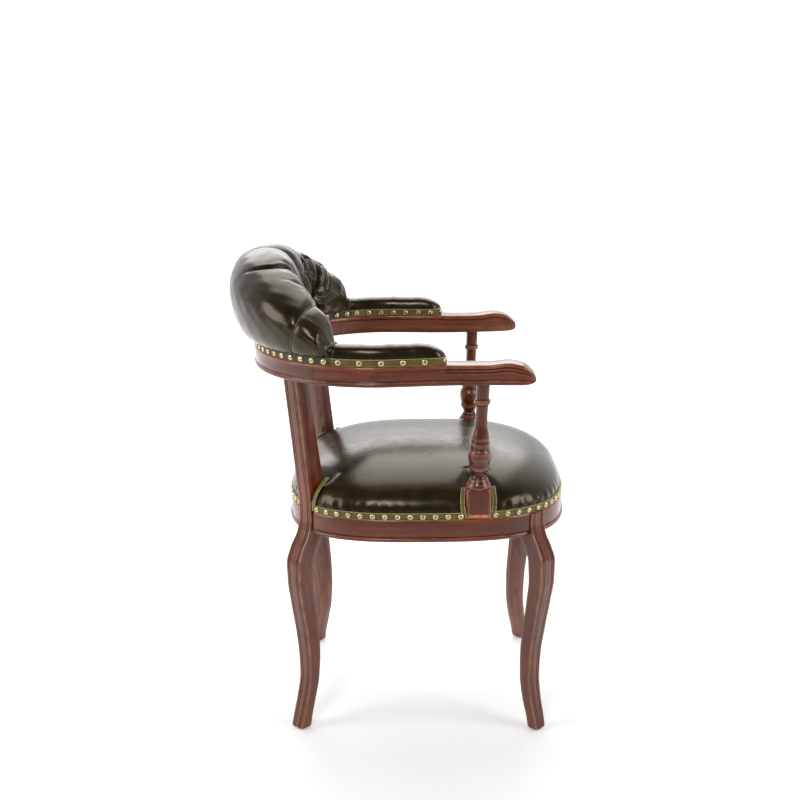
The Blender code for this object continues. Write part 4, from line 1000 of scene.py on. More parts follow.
def strip_rings(path, outward, low, high, near, thick):
    """A flat braid with a cord along each edge: rings along a path, with outward directions."""
    flat, cord = near + thick, near + 1.8 * thick
    outline = [(near, low, 0.0), (flat, low - 0.0001, 1.0), (cord, low + 0.0006, 1.0)]
    # Tone -0.7 beside each cord is painted shade.
    outline += [(flat, low + 0.0015, -0.7), (flat, low + 0.0022, 0.0)]
    outline += [(near + 1.15 * thick, 0.5 * (low + high), 0.0)]
    outline += [(flat, high - 0.0022, 0.0), (flat, high - 0.0015, -0.7)]
    outline += [(cord, high - 0.0006, 1.0), (flat, high + 0.0001, 1.0), (near, high, 0.0)]
    rings, tones = [], []
    for (x, y), (ox, oy) in zip(path, outward):
        rings.append([(x + ox * o, y + oy * o, z) for o, z, _ in outline])
        tones.append([value for _, _, value in outline])
    return np.array(rings), np.array(tones)


# share of the radius, share of the rise, tone
NAIL_LEVELS = (
    (0.98, -0.30, -0.4), (1.00, 0.05, -0.2), (0.92, 0.42, 0.0), (0.74, 0.72, 0.0), (0.52, 0.90, 0.0),
    (0.30, 0.93, -0.7), (0.12, 0.90, -1.0),
)


def nail_body(centre, axis, seed):
    """A domed nail head with a hammered flat on its crown, as rings and tones."""
    axis = unit(np.asarray(axis, float))
    side = unit(np.cross(axis, (0.0, 0.0, 1.0)))
    up = np.cross(side, axis)
    rings, tones = [], []
    for level, (reach, height, tone) in enumerate(NAIL_LEVELS):
        hammered = 0.05 if level > 2 else 0.0
        ring = []
        for k in range(NAIL_SIDES):
            angle = ROUND * k / NAIL_SIDES + seed
            r = NAIL_R * reach * (1.0 + hammered * math.sin(3.0 * angle + 5.0 * seed))
            lift = NAIL_RISE * (height + hammered * math.sin(2.0 * angle + 9.0 * seed))
            around = side * r * math.cos(angle) + up * r * math.sin(angle)
            ring.append(np.asarray(centre) + around + axis * lift)
        rings.append(ring)
        tones.append([tone] * NAIL_SIDES)
    return np.array(rings), np.array(tones)


def make_seat_gimp(node, first, last, seed):
    """Braid and nails along one stretch of the seat's edge."""
    steps = max(24, int(abs(last - first) / 0.02))
    path, outward = [], []
    for i in range(steps + 1):
        angle = first + (last - first) * i / steps
        path.append(seat_point(angle, -COVER_SET))
        outward.append(seat_outward(angle))
    rings, tones = strip_rings(path, outward, GIMP_LOW, GIMP_LOW + GIMP_HEIGHT, GAP, BRAID_THICK)
    piece = skin(node + "_braid", rings, GIMP_BRIGHT, tones, seed)
    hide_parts(node)
    groups = []
    for angle in nail_angles(first, last, SEAT_PITCH):
        x, y = seat_point(angle, -COVER_SET + NAIL_STAND)
        centre = (x, y, GIMP_LOW + 0.47 * GIMP_HEIGHT)
        groups.append(nail_body(centre, (*seat_outward(angle), 0.0), 1.7 * angle))
    merged(node.replace("gimp", "nails"), groups, BRASS, 60.0)


def seat_spans():
    """The four nailed stretches of the seat's edge, as angles of its plan."""
    leg_clear = 0.5 * REAR_HEAD_W + 0.0020
    block_clear = 0.5 * POST_BLOCK + 0.0010

    def side_angle(y):
        return math.pi - math.asin(power((y - SEAT_Y) / SEAT_B, 0.5 * SEAT_N))

    ahead = side_angle(POST_FOOT[1] - block_clear)
    behind = side_angle(POST_FOOT[1] + block_clear)
    corner = angle_at_leg(-1, False, 0.0, leg_clear)
    rear = (angle_at_leg(1, False, 0.0, leg_clear), angle_at_leg(-1, False, 0.0, -leg_clear))
    return (
        ("seat_gimp_front", ahead, 3.0 * math.pi - ahead),
        ("seat_gimp_right", corner, behind),
        ("seat_gimp_left", 3.0 * math.pi - behind, 3.0 * math.pi - corner),
        ("seat_gimp_rear", *rear),
    )


def dome_ring_at(y, z):
    """Distance of the dome's side from the middle plane at a place along it and a height."""
    share = math.sin(0.5 * math.pi * dome_level(z)) ** DOME_PLAN
    along = min(0.98, abs((y - SEAT_Y) / ((SEAT_B - COVER_SET) * share)))
    return (SEAT_A - COVER_SET) * share * (1.0 - along**SEAT_N) ** (1.0 / SEAT_N)


def make_block_trim(side, label):
    """Braid turned up along both sides of an arm post's block."""
    groups = []
    for turn in (-1.0, 1.0):
        path = []
        for i in range(22):
            share = i / 21
            z = GIMP_LOW + 0.002 + 0.047 * share
            bow = 0.0030 * math.sin(math.pi * share)
            y = POST_FOOT[1] + turn * (0.5 * POST_BLOCK + 0.0018 + bow + 0.0018 * share)
            x = dome_ring_at(y, max(z, RAIL_TOP)) + 0.0012
            path.append((side * x, y, z))
        path = np.array(path)
        half = 0.0030
        for shift in (-half, half):
            groups.append((tube_rings(path + np.array([0.0, turn * shift, 0.0]), CORD_R, 8), 0.9))
        outline = ((-0.0010, -half), (0.0004, -half), (0.0009, 0.0), (0.0004, half), (-0.0010, half))
        groups.append((np.array([[(x + side * o, y + a, z) for o, a in outline] for x, y, z in path]), 0.0))
    merged("post_braid_" + label, groups, GIMP_BRIGHT)


def make_rear_trim(side, label):
    """Braid turned up beside a rear post, along the cut in the seat leather."""
    _, out, across = leg_frame(side, False)
    groups = []
    for turn in (-1.0, 1.0):
        angle = angle_at_leg(side, False, 0.0, turn * (0.5 * REAR_HEAD_W + 0.0052))
        path = []
        for i in range(24):
            share = i / 23
            z = GIMP_LOW + 0.002 + 0.052 * share
            x, y, _ = dome_surface(angle + turn * 0.010 * share, dome_level(z), DOME_RISE)
            path.append((x + 0.0022 * out[0], y + 0.0022 * out[1], z))
        path = np.array(path)
        shift = np.array([*(0.0028 * across), 0.0])
        for sign in (-1.0, 1.0):
            groups.append((tube_rings(path + sign * shift, CORD_R, 8), 0.9))
        lift = np.array([*(0.0008 * out), 0.0])
        groups.append((np.stack([path - shift - 3.0 * lift, path - shift, path + lift, path + shift,
                                 path + shift - 3.0 * lift], axis=1), 0.0))
    merged("rear_braid_" + label, groups, GIMP_BRIGHT)


# ---------------------------------------------------------------- back roll
NAIL_LINE = 0.5 * BOW_WIDTH - 0.0025    # where the leather is nailed, from the bow's centre line


def roll_height(degrees):
    """Height of the roll's crest over the bow."""
    return smooth_table(ROLL_CREST, min(degrees, 180.0 - degrees))[0]


def roll_section(degrees, places):
    """The roll's section at places u from 0 (outer nails) over the crest (2) to 4 (inner nails)."""
    height = roll_height(degrees)
    scale = height / ROLL_CREST[0][1]
    half = NAIL_LINE
    crest = -ROLL_CREST_IN
    out = 0.5 * BOW_WIDTH + ROLL_BULGE * scale
    full = float(smoothstep(17.0, 47.0, min(degrees, 180.0 - degrees)))
    inner = (crest - ROLL_INNER * (0.45 + 0.55 * scale)) * full - PAD_HALF * (1.0 - full)
    middle = 0.60 * height
    low = min(GIMP_HEIGHT, 0.3 * height)
    part = np.floor(np.minimum(places, 3.999)).astype(int)
    turn = 0.5 * np.pi * (places - part)
    offset = np.choose(part, [half + (out - half) * np.sin(turn), crest + (out - crest) * np.cos(turn),
                              crest + (inner - crest) * np.sin(turn), -half + (inner + half) * np.cos(turn)])
    z = np.choose(part, [middle - (middle - low) * np.cos(turn), middle + (height - middle) * np.sin(turn),
                         middle + (height - middle) * np.cos(turn), middle - (middle - low) * np.sin(turn)])
    return offset, z


def pad_outline(places):
    """The pad's section, read at the same places as the roll's."""
    t = np.pi * places / 4.0
    offset = PAD_HALF * np.sign(np.cos(t)) * np.abs(np.cos(t)) ** 0.62
    return offset, 0.0105 + (PAD_RISE - 0.0105) * np.sin(t) ** 0.75


def roll_point(degrees, u):
    offset, z = roll_section(degrees, np.array([u]))
    return np.array([*bow_point(degrees, float(offset[0])), BOW_TOP + float(z[0])])


def flat_map(degrees, u):
    """Unrolls the roll into metres, so that folds keep their width."""
    pull = np.interp(u, (0.0, 1.0, 2.0, 3.0, 4.0), (0.0041, 0.0047, 0.0039, 0.0029, 0.0034))
    return (degrees - 90.0) * pull, u * 0.105


def fold_field(x, y, path):
    """Signed distance to a fold's path in the unrolled roll, and the share along it."""
    route = np.array([flat_map(d, u) for d, u in path])
    run = run_along(route)
    best = np.full(x.shape, 1e9)
    signed = np.zeros(x.shape)
    share = np.zeros(x.shape)
    for k in range(len(route) - 1):
        a, b = route[k], route[k + 1]
        d = b - a
        length = float(np.hypot(*d))
        t = np.clip(((x - a[0]) * d[0] + (y - a[1]) * d[1]) / length**2, 0.0, 1.0)
        dx, dy = x - a[0] - t * d[0], y - a[1] - t * d[1]
        distance = np.hypot(dx, dy)
        closer = distance < best
        best = np.where(closer, distance, best)
        signed = np.where(closer, np.sign(d[0] * dy - d[1] * dx) * distance, signed)
        share = np.where(closer, (run[k] + t * length) / run[-1], share)
    return best, signed, share


def curve_through(path, steps=10):
    """A smooth path through a few places."""
    path = [tuple(map(float, p)) for p in path]
    padded = [path[0]] + path + [path[-1]]
    points = []
    for k in range(1, len(padded) - 2):
        a, b, c, d = (np.array(p) for p in padded[k - 1:k + 3])
        for i in range(steps):
            t = i / steps
            points.append(0.5 * (2 * b + (c - a) * t + (2 * a - 5 * b + 4 * c - d) * t**2
                                 + (3 * b - a - 3 * c + d) * t**3))
    points.append(np.array(path[-1]))
    return points


def button_places():
    """Three buttons in the upper row and four in the lower, staggered."""
    upper = [(90.0 + BUTTON_STEP * k, BUTTON_HIGH) for k in (-1, 0, 1)]
    lower = [(90.0 + BUTTON_STEP * (k + 0.5), BUTTON_LOW) for k in (-2, -1, 0, 1)]
    return upper, lower


SEAM_ONE = ((37.0, 0.0), (37.0, 0.25), (35.0, 0.65), (32.0, 1.20), (31.8, 1.85), (33.0, 2.25), (35.5, 2.60),
            (37.5, 2.95), (44.0, 3.22), (51.0, 3.27))
SEAM_TWO = ((21.8, 0.0), (21.2, 1.0), (20.6, 2.0), (21.2, 3.0), (21.8, 4.0))


def mirror(path):
    return [(180.0 - d, u) for d, u in path]


def folds():
    """Folds of the back leather: path, depth at both ends, width, lip, and whether it is mirrored."""
    upper, lower = button_places()
    side, middle, _ = upper
    left = lower[0]
    rows = [
        ([middle, (90.0, 2.40), (90.3, 2.05), (91.0, 1.75), (91.0, 1.50)], 0.0210, 0.0, 0.0085, 0.0, False),
        ([side, (65.0, 2.40), (62.0, 2.08), (62.5, 1.86), (65.5, 1.62), (70.0, 1.40)],
         0.0230, 0.0, 0.0065, 0.0035, True),
        ([left, (50.0, 2.85), (47.5, 2.45), (48.0, 2.10), (51.0, 1.85)], 0.0170, 0.0, 0.0065, 0.0020, True),
        ([left, (57.0, 2.90), (57.5, 2.50), (55.5, 2.15)], 0.0100, 0.0, 0.0060, 0.0, True),
        ([left, (44.5, 2.95), (41.5, 2.60), (41.0, 2.25), (43.0, 1.90)], 0.0090, 0.0, 0.0060, 0.0, True),
    ]
    for a, b in ((middle, lower[1]), (side, lower[1]), (side, left)):
        rows.append(([a, b], 0.0110, 0.0110, 0.0075, 0.0, True))
    for d, u in lower[:2]:
        lean = 1.5 if d < 60.0 else 0.0
        rows.append(([(d, u), (d - lean, 3.60), (d - 2.0 * lean, 3.95)], 0.0110, 0.0040, 0.0065, 0.0, True))
        for turn in (-1.0, 1.0):
            path = [(d, u), (d + 4.0 * turn, 3.62), (d + 6.0 * turn, 3.95)]
            rows.append((path, 0.0060, 0.0020, 0.0045, 0.0, True))
    rows.append((list(SEAM_ONE), 0.0020, 0.0075, 0.0040, 0.0, True))
    rows.append((list(SEAM_TWO), 0.0024, 0.0024, 0.0040, 0.0, True))
    for k in range(9):
        d = 39.5 + 3.4 * k
        tall = 0.22 + 0.09 * math.sin(2.1 * k) + 0.06 * math.sin(0.8 * k)
        rows.append(([(d, 0.02), (d + 2.2, 0.45 * tall), (d + 4.6, tall)], 0.0014, 0.0, 0.0018, 0.0, True))
    for k in range(-3, 4):
        d = 90.0 + 5.2 * k
        rows.append(([(d, 0.02), (d, 0.22 + 0.05 * math.sin(3.0 * k))], 0.0018, 0.0, 0.0024, 0.0, False))
    return rows


def make_roll():
    """The tufted leather roll round the bow; returns its grid for the welts and buttons."""
    count, around = 380, 190
    end_length = 4.2            # degrees over which the roll turns into the pad's section
    places = np.linspace(0.0, 4.0, around)
    flat_offset, flat_z = pad_outline(places)
    sweep = np.linspace(ROLL_END - 0.2, 180.0 - ROLL_END + 0.2, count)
    points = np.empty((count, around, 3))
    for i, degrees in enumerate(sweep):
        offset, z = roll_section(min(max(degrees, ROLL_END), 180.0 - ROLL_END), places)
        away = min(degrees, 180.0 - degrees) - ROLL_END
        blend = float(smoothstep(end_length, 0.0, away))
        offset = offset * (1.0 - blend) + flat_offset * blend
        z = z * (1.0 - blend) + flat_z * blend
        for k in range(around):
            x, y = bow_point(degrees, float(offset[k]))
            points[i, k] = (x, y, BOW_TOP + float(z[k]))
    du = np.gradient(points, axis=1)
    dd = np.gradient(points, axis=0)
    normal = np.cross(dd, du)
    normal /= np.maximum(np.linalg.norm(normal, axis=2)[..., None], 1e-12)
    centre = np.array([[*bow_point(d, -ROLL_CREST_IN), BOW_TOP + 0.45 * roll_height(d)] for d in sweep])
    flip = np.sign(np.einsum("ijk,ijk->ij", normal, points - centre[:, None, :]))
    normal *= np.where(flip == 0.0, 1.0, flip)[..., None]

    degrees = np.repeat(sweep[:, None], around, axis=1)
    u = np.repeat(places[None, :], count, axis=0)
    x, y = flat_map(degrees, u)
    depth = np.zeros((count, around))
    tone = np.zeros((count, around))
    nearest = np.full((count, around), 1.0)
    for path, first, last, width, lip, both in folds():
        for route in ([path, mirror(path)] if both else [path]):
            route = curve_through(route, 6)
            distance, signed, share = fold_field(x, y, route)
            strength = first + (last - first) * share
            fade = smoothstep(3.4 * width, 0.0, np.where(share >= 0.999, distance, 0.0))
            cut = strength * np.exp(-np.sqrt(distance**2 + 0.0009**2) / width) * fade
            depth = np.maximum(depth, cut) + 0.35 * np.minimum(depth, cut)
            # Painted shade: darker leather along each fold.
            tone -= 1.0 * smoothstep(0.0, 0.006, strength) * np.exp(-(distance / (0.38 * width)) ** 2)
            if lip:
                raised = lip * np.exp(-((np.abs(signed) - 1.2 * width) / (0.7 * width)) ** 2)
                depth -= raised * (strength / max(first, 1e-6))
            nearest = np.minimum(nearest, np.where(strength > 0.002, distance, 1.0))
    upper, lower = button_places()
    for place in upper + lower:
        bx, by = flat_map(*place)
        distance = np.hypot(x - bx, y - by)
        depth = np.maximum(depth, 0.0165 * np.exp(-(distance / 0.0150) ** 1.3))
        # Painted shade: darker leather round each button.
        tone -= 0.7 * np.exp(-(distance / 0.011) ** 2)
    inner_face = smoothstep(1.9, 2.5, u) * smoothstep(4.0, 3.6, u)
    pillow = 0.0045 * inner_face * smoothstep(0.004, 0.026, nearest)
    away = np.minimum(degrees, 180.0 - degrees) - ROLL_END
    ripple = 0.0003 * np.sin(x * 160.0 + 2.0 * np.sin(y * 60.0)) * np.sin(y * 95.0 + 1.3)
    lift = (pillow - depth + ripple * smoothstep(0.0, 0.4, u)) * smoothstep(0.4, 2.2, away)
    nailed = smoothstep(0.0, 0.10, u) * smoothstep(4.0, 3.90, u)
    points += normal * (lift * (0.25 + 0.75 * nailed))[..., None]
    shut = np.empty((count, 4, 3))
    for i, d in enumerate(sweep):
        width = NAIL_LINE if end_length < min(d, 180.0 - d) - ROLL_END else PAD_HALF
        for k, offset in enumerate((-width, -0.5 * width, 0.5 * width, width)):
            shut[i, k] = (*bow_point(d, offset), BOW_TOP + GAP)
    rings = np.concatenate([points, shut], axis=1)
    tone = np.concatenate([np.clip(tone, -1.0, 0.0), np.zeros((count, 4))], axis=1)
    piece = skin("back_leather", rings, LEATHER, tone, 0.0, sharp=0.0)
    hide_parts("back_cover", "back_foam_outer", "back_foam_inner")
    return sweep, places, points, normal


def surface_path(grid, path, lift):
    """A smooth path on the finished roll, lifted off its surface."""
    sweep, places, points, normal = grid
    route = []
    for d, u in curve_through(path, 14):
        i = float(np.interp(d, sweep, np.arange(len(sweep))))
        k = float(np.interp(u, places, np.arange(len(places))))
        i0, k0 = min(int(i), len(sweep) - 2), min(int(k), len(places) - 2)
        a, b = i - i0, k - k0
        value = 0.0
        for array in (points, normal * lift):
            value = value + ((1 - a) * (1 - b) * array[i0, k0] + a * (1 - b) * array[i0 + 1, k0]
                             + (1 - a) * b * array[i0, k0 + 1] + a * b * array[i0 + 1, k0 + 1])
        route.append(value)
    return np.array(route)


def make_welts(grid):
    """Piped seams: two across each end of the roll, and a second line beside the inner part of the first."""
    inner = [(d - 1.9 * (u - 2.0) / 1.3 if u > 2.0 else d, u) for d, u in SEAM_ONE[5:]]
    for label, turn in (("left", list), ("right", mirror)):
        groups = []
        for path in (SEAM_ONE, SEAM_TWO, inner):
            # Tone 0.6 makes the piping paler still: partly wear, partly painted highlight.
            groups.append((tube_rings(surface_path(grid, turn(path), 0.0004), WELT_R, 8), 0.6))
        merged("back_welts_" + label, groups, WELT)


BUTTON_SIDES = 24
BUTTON_RISE = 0.0052
# share of the radius, share of the rise
BUTTON_LEVELS = (
    (0.92, -0.9), (1.0, 0.15), (0.97, 0.42), (0.84, 0.70), (0.62, 0.89), (0.34, 0.98), (0.08, 1.0),
)


def make_buttons(grid):
    """Covered buttons, sunk in the tufts."""
    upper, lower = button_places()
    for number, (d, u) in enumerate(upper + lower, 1):
        centre = surface_path(grid, [(d, u), (d, u + 0.001)], 0.0)[0]
        ahead = roll_point(d + 1.0, u) - roll_point(d - 1.0, u)
        up = roll_point(d, u - 0.1) - roll_point(d, u + 0.1)
        axis = unit(np.cross(up, ahead))
        if axis[:2] @ bow_outward(d) > 0.0:
            axis = -axis
        ahead = unit(ahead)
        up = np.cross(axis, ahead)
        rings, tones = [], []
        for reach, height in BUTTON_LEVELS:
            ring = []
            for k in range(BUTTON_SIDES):
                angle = ROUND * k / BUTTON_SIDES
                crease = 1.0 + 0.025 * math.sin(7.0 * angle) * (1.0 - abs(height - 0.4))
                r = BUTTON_R * reach * crease
                around = ahead * r * math.cos(angle) + up * r * math.sin(angle)
                ring.append(centre + around + axis * BUTTON_RISE * height)
            rings.append(ring)
            tones.append([0.15 if 0.3 < height < 0.8 else 0.0] * BUTTON_SIDES)
        piece = skin("button_%d" % number, rings, LEATHER, tones, sharp=0.0)
        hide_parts("tuft_button_%d" % number)


def bow_run(offset, pitch):
    """Degrees of evenly spaced nails round the bow."""
    fine = np.linspace(ROLL_END, 180.0 - ROLL_END, 900)
    run = run_along(np.array([bow_point(d, offset) for d in fine]))
    count = int(round((run[-1] - pitch) / pitch)) + 1
    return np.interp(np.linspace(0.5 * pitch, run[-1] - 0.5 * pitch, count), run, fine)


TOP_BRAID = (BOW_TOP + GAP, BOW_TOP + GAP + 0.95 * GIMP_HEIGHT, GAP, BRAID_THICK)
TOP_NAILS = BOW_TOP + 0.48 * GIMP_HEIGHT


def make_bow_gimp(node, sign):
    """Braid and nails along the roll's outer (1) or inner (-1) edge."""
    path, outward = [], []
    for i in range(181):
        d = ROLL_END + (180.0 - 2.0 * ROLL_END) * i / 180
        path.append(bow_point(d, sign * NAIL_LINE))
        outward.append(sign * bow_outward(d))
    rings, tones = strip_rings(path, outward, *TOP_BRAID)
    # The bow's braid takes the darker copy: painted shade under the roll.
    piece = skin(node + "_braid", rings, GIMP_PAINTED_SHADE, tones, 5.0)
    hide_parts(node)
    groups = []
    for d in bow_run(sign * NAIL_LINE, BOW_PITCH):
        axis = sign * bow_outward(d)
        spot = np.array(bow_point(d, sign * NAIL_LINE)) + axis * NAIL_STAND
        groups.append(nail_body((*spot, TOP_NAILS), (*axis, 0.0), 0.13 * d))
    merged(node.replace("gimp", "nails"), groups, BRASS, 60.0)


# ---------------------------------------------------------------- arm pads
def pad_path(steps):
    """Centre line of a pad from the roll's end to its round front: x, y and outward direction."""
    rows = []
    for i in range(10):
        degrees = (ROLL_END + 0.9) * (1.0 - i / 10)
        rows.append((*bow_point(degrees, 0.0), *bow_outward(degrees)))
    for i in range(steps):
        y = ARM[0][0] + (PAD_FRONT + PAD_HALF - ARM[0][0]) * i / (steps - 1)
        centre = np.array(arm_at(y, 0.0, 1))
        rows.append((*centre, *unit(np.array(arm_at(y, PROBE, 1)) - centre)))
    return rows


def front_drop(y):
    """How far a pad's crown has come down towards its round front."""
    share = min(1.0, max(0.0, (PAD_FRONT + 0.042 - y) / 0.042))
    return 1.0 - 0.92 * share**2.6


def make_pad(side, label):
    """A narrow padded strip along an arm, with a round front."""
    around = 34
    band = 0.0110               # the nailed band, which keeps its height where the crown comes down
    places = np.linspace(0.0, 4.0, around)
    offset, z = pad_outline(places)
    offset = np.concatenate([[PAD_HALF], offset, [-PAD_HALF, -0.3 * PAD_HALF, 0.3 * PAD_HALF]])
    z = np.concatenate([[GAP], z, [GAP, GAP, GAP]])
    rings = []
    rows = pad_path(30)
    for x, y, ox, oy in rows:
        ring = []
        for o, h in zip(offset, z):
            px, py = side * (x + ox * o), y + oy * o
            ring.append((px, py, BOW_TOP + (h if h <= band else band + (h - band) * front_drop(py))))
        rings.append(ring)
    x, y = rows[-1][:2]
    for i in range(1, 13):
        t = 0.5 * math.pi * i / 12.4
        drop = 0.42 + 0.58 * front_drop(y - PAD_HALF * math.sin(t))
        ring = []
        for o, h in zip(offset, z):
            py = y - PAD_HALF * math.sin(t) * (1.0 if h > 2 * GAP else 0.98)
            ring.append((side * (x + o * math.cos(t)), py, BOW_TOP + (h * drop if h > GAP else h)))
        rings.append(ring)
    piece = skin("arm_pad_%s_leather" % label, rings, LEATHER, sharp=0.0)
    heights = coordinates(piece)[:, 2] - BOW_TOP
    pinned = np.nonzero(heights < 0.0125)[0]
    settle(piece, pinned, 3.0, 0.004, 12)
    points = coordinates(piece)
    wave = 0.0005 * np.sin(points[:, 1] * 210.0) * np.sin(points[:, 1] * 77.0 + 1.0)
    points[:, 2] += wave * smoothstep(0.012, 0.02, points[:, 2] - BOW_TOP)
    write_back(piece, points)
    subdivided(piece)
    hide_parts("arm_pad_" + label)


def make_pad_gimp(side, label):
    """Braid and nails round a pad; the nails stand wider apart on the outer side."""
    rows = pad_path(30)
    path, outward = [], []
    for x, y, ox, oy in rows:
        path.append((side * (x + ox * PAD_HALF), y + oy * PAD_HALF))
        outward.append((side * ox, oy))
    x, y = rows[-1][:2]
    for i in range(1, 24):
        t = math.pi * i / 24
        path.append((side * (x + PAD_HALF * math.cos(t)), y - PAD_HALF * math.sin(t)))
        outward.append((side * math.cos(t), -math.sin(t)))
    for x, y, ox, oy in rows[::-1]:
        path.append((side * (x - ox * PAD_HALF), y - oy * PAD_HALF))
        outward.append((-side * ox, -oy))
    rings, tones = strip_rings(path, outward, *TOP_BRAID)
    piece = skin("arm_gimp_%s_braid" % label, rings, GIMP_BRIGHT, tones, 7.0)
    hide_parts("arm_gimp_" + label)
    path, outward = np.array(path), np.array(outward)
    run = run_along(path)
    outer_half = run[len(rows) + 12]
    outside = np.arange(0.5 * PAD_PITCH_OUT, outer_half + 0.3 * PAD_PITCH_OUT, PAD_PITCH_OUT)
    inside = np.arange(run[-1] - 0.5 * PAD_PITCH_IN, outside[-1] + 0.7 * PAD_PITCH_IN, -PAD_PITCH_IN)
    groups = []
    for s in np.concatenate([outside, inside]):
        spot = np.array([np.interp(s, run, path[:, 0]), np.interp(s, run, path[:, 1])])
        axis = unit(np.array([np.interp(s, run, outward[:, 0]), np.interp(s, run, outward[:, 1])]))
        groups.append(nail_body((*(spot + axis * NAIL_STAND), TOP_NAILS), (*axis, 0.0), 31.0 * s))
    merged("arm_nails_" + label, groups, BRASS, 60.0)


# ---------------------------------------------------------------- underside and small parts
def make_dust_cover():
    """Black cloth stapled under the rails, slack in the middle."""
    low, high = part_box("dust_cover")
    half_x, half_y = 0.5 * (high.x - low.x), 0.5 * (high.y - low.y)
    middle_y = 0.5 * (high.y + low.y) + ORIGIN_Y
    cells = 60
    sheets = []
    for thick in (0.0, 0.0007):
        for angle, level in grid_places(cells):
            x = half_x * level * power(math.cos(angle), 2.0 / SEAT_N)
            y = half_y * level * power(math.sin(angle), 2.0 / SEAT_N)
            sag = 0.0045 * (1.0 - level**2) + 0.0005 * math.sin(40.0 * x) * math.sin(33.0 * y)
            sheets.append((x, middle_y + y, high.z - 0.0008 - thick - sag * (level < 0.99)))
    top = grid_faces(cells)
    start = (cells + 1) ** 2
    faces = top + [tuple(start + v for v in face[::-1]) for face in top]
    border = grid_border(cells)
    for k, a in enumerate(border):
        b = border[(k + 1) % len(border)]
        faces.append((a, b, b + start, a + start))
    piece = place_mesh("dust_cloth", sheets, faces, CAMBRIC, sharp=0.0)
    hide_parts("dust_cover")


def finish_cad_nodes():
    """Better materials on the CAD nodes that stay."""
    finishes = (
        ("glide", NYLON), ("corner_block", BEECH), ("arm_dowel", BEECH), ("seat_board", PLYWOOD),
        ("back_board", PLYWOOD), ("corner_bolt", STEEL), ("arm_post_screw", STEEL), ("bow_screw", STEEL),
    )
    for name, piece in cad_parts.items():
        for start, material in finishes:
            if name.startswith(start):
                piece.data.materials.clear()
                piece.data.materials.append(material)


# ---------------------------------------------------------------- stage, lights and camera
def make_stage():
    """A floor that is darker on the camera's side and glows behind the chair."""
    mesh = bpy.data.meshes.new("floor")
    reach = 60.0
    corners = [(-reach, -reach, 0.0), (reach, -reach, 0.0), (reach, reach, 0.0), (-reach, reach, 0.0)]
    mesh.from_pydata(corners, [], [(0, 1, 2, 3)])
    g = Graph("floor_paint")
    place = g.add("TexCoord", 3)
    spots = g.ramp(g.noise(place, 3.0), (0.3, 0.0), (0.7, 1.0))
    colour = g.mix(spots, (0.90, 0.90, 0.895), (0.92, 0.92, 0.915))
    across = g.add("SeparateXYZ", 0, _0=place)
    near_side = g.ramp(g.add("MapRange", 0, _0=across, _1=-3.0, _2=0.0), (0.25, 0.55), (0.78, 0.0))
    colour = g.mix(near_side, colour, (0.10, 0.10, 0.10))
    glow = g.ramp(g.add("MapRange", 0, _0=across, _1=-1.0, _2=2.5), (0.0, 0.0), (1.0, 0.75))
    mesh.materials.append(g.finish(Base_Color=colour, Roughness=0.9, Specular_IOR_Level=0.1,
                                   Emission_Color=glow, Emission_Strength=1.0))
    floor = bpy.data.objects.new("floor", mesh)
    bpy.context.scene.collection.objects.link(floor)


def softbox(name, place, aim, size, energy):
    """A rectangular area light, in metres and watts."""
    light = bpy.data.lights.new(name, "AREA")
    light.shape = "RECTANGLE"
    light.size, light.size_y = size
    light.energy = energy
    lamp = bpy.data.objects.new(name, light)
    lamp.location = place
    direction = Vector(aim) - Vector(place)
    lamp.rotation_euler = direction.to_track_quat("-Z", "Y").to_euler()
    bpy.context.scene.collection.objects.link(lamp)


def make_lights():
    """Four soft lights and a sky that runs from grey on the camera's side to white behind the chair."""
    softbox("top", (2.3, 0.1, 2.9), (0.0, 0.0, 0.4), (3.0, 4.2), 84.0)
    softbox("front", (-1.4, -2.9, 1.7), (0.0, 0.0, 0.5), (1.6, 2.0), 52.0)
    softbox("behind", (-0.9, 2.9, 1.6), (0.0, 0.0, 0.6), (1.6, 2.0), 46.0)
    softbox("key", (-2.7, 0.7, 2.5), (0.0, 0.0, 0.5), (0.8, 0.8), 30.0)
    world = bpy.data.worlds.new("studio")
    bpy.context.scene.world = world
    world.use_nodes = True
    tree = world.node_tree
    sky = tree.nodes["Background"]
    coordinate = tree.nodes.new("ShaderNodeTexCoord")
    split = tree.nodes.new("ShaderNodeSeparateXYZ")
    tree.links.new(coordinate.outputs["Generated"], split.inputs[0])
    ramp = tree.nodes.new("ShaderNodeValToRGB")
    shift = tree.nodes.new("ShaderNodeMath")
    shift.operation = "MULTIPLY_ADD"
    shift.inputs[1].default_value = 0.5
    shift.inputs[2].default_value = 0.5
    tree.links.new(split.outputs[0], shift.inputs[0])
    tree.links.new(shift.outputs[0], ramp.inputs[0])
    stops = ((0.42, (0.115, 0.112, 0.108, 1.0)), (0.86, (1.1, 1.1, 1.1, 1.0)))
    for element, (position, colour) in zip(ramp.color_ramp.elements, stops):
        element.position = position
        element.color = colour
    tree.links.new(ramp.outputs[0], sky.inputs["Color"])
    sky.inputs["Strength"].default_value = 0.95


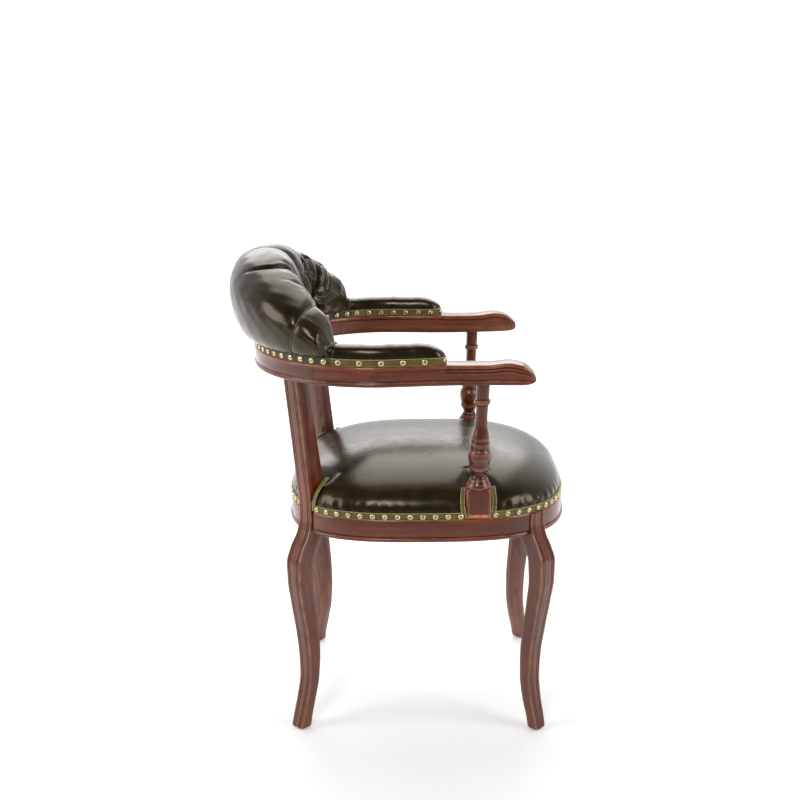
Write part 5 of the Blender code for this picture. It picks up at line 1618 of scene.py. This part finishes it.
def make_camera():
    """The photo's camera: place, three turns and lens."""
    pitch, yaw, roll = (math.radians(v) for v in (CAMERA_PITCH, CAMERA_YAW, CAMERA_ROLL))
    ahead = Vector((math.cos(pitch) * math.cos(yaw), math.cos(pitch) * math.sin(yaw), -math.sin(pitch)))
    level = ahead.cross(Vector((0.0, 0.0, 1.0))).normalized()
    up = level.cross(ahead)
    right = math.cos(roll) * level + math.sin(roll) * up
    up = -math.sin(roll) * level + math.cos(roll) * up
    turn = Matrix((right, up, -ahead)).transposed().to_4x4()
    data = bpy.data.cameras.new("camera")
    data.lens = CAMERA_LENS
    data.sensor_width = 36.0
    data.clip_end = 400.0
    camera = bpy.data.objects.new("camera", data)
    camera.matrix_world = Matrix.Translation(CAMERA_PLACE) @ turn
    bpy.context.scene.collection.objects.link(camera)
    bpy.context.scene.camera = camera
    bpy.context.scene.view_settings.view_transform = "Standard"


# ---------------------------------------------------------------- the chair
make_camera()
make_stage()
make_lights()
finish_cad_nodes()
make_rail("seat_rail_right", (-1, False), (-1, True), 1.3)
make_rail("seat_rail_front", (-1, True), (1, True), 2.6)
make_rail("seat_rail_left", (1, True), (1, False), 3.9)
make_rail("seat_rail_rear", (1, False), (-1, False), 5.2)
for number, (leg_side, is_front) in enumerate(((-1, True), (-1, False), (1, True), (1, False))):
    make_leg(leg_side, is_front, 0.9 + 1.7 * number)
make_bow()
spans = seat_spans()
for arm_side, arm_label in ((-1, "right"), (1, "left")):
    make_arm(arm_side, arm_label, 4.4 + arm_side)
    make_post(arm_side, arm_label, 8.2 + arm_side)
    make_pad(arm_side, arm_label)
    make_pad_gimp(arm_side, arm_label)
    make_block_trim(arm_side, arm_label)
    make_rear_trim(arm_side, arm_label)
make_seat([(first, last) for _, first, last in spans])
for strip_index, (node_name, first, last) in enumerate(spans):
    make_seat_gimp(node_name, first, last, 1.1 * strip_index)
make_bow_gimp("bow_gimp_outer", 1.0)
make_bow_gimp("bow_gimp_inner", -1.0)
roll_grid = make_roll()
make_welts(roll_grid)
make_buttons(roll_grid)
make_dust_cover()
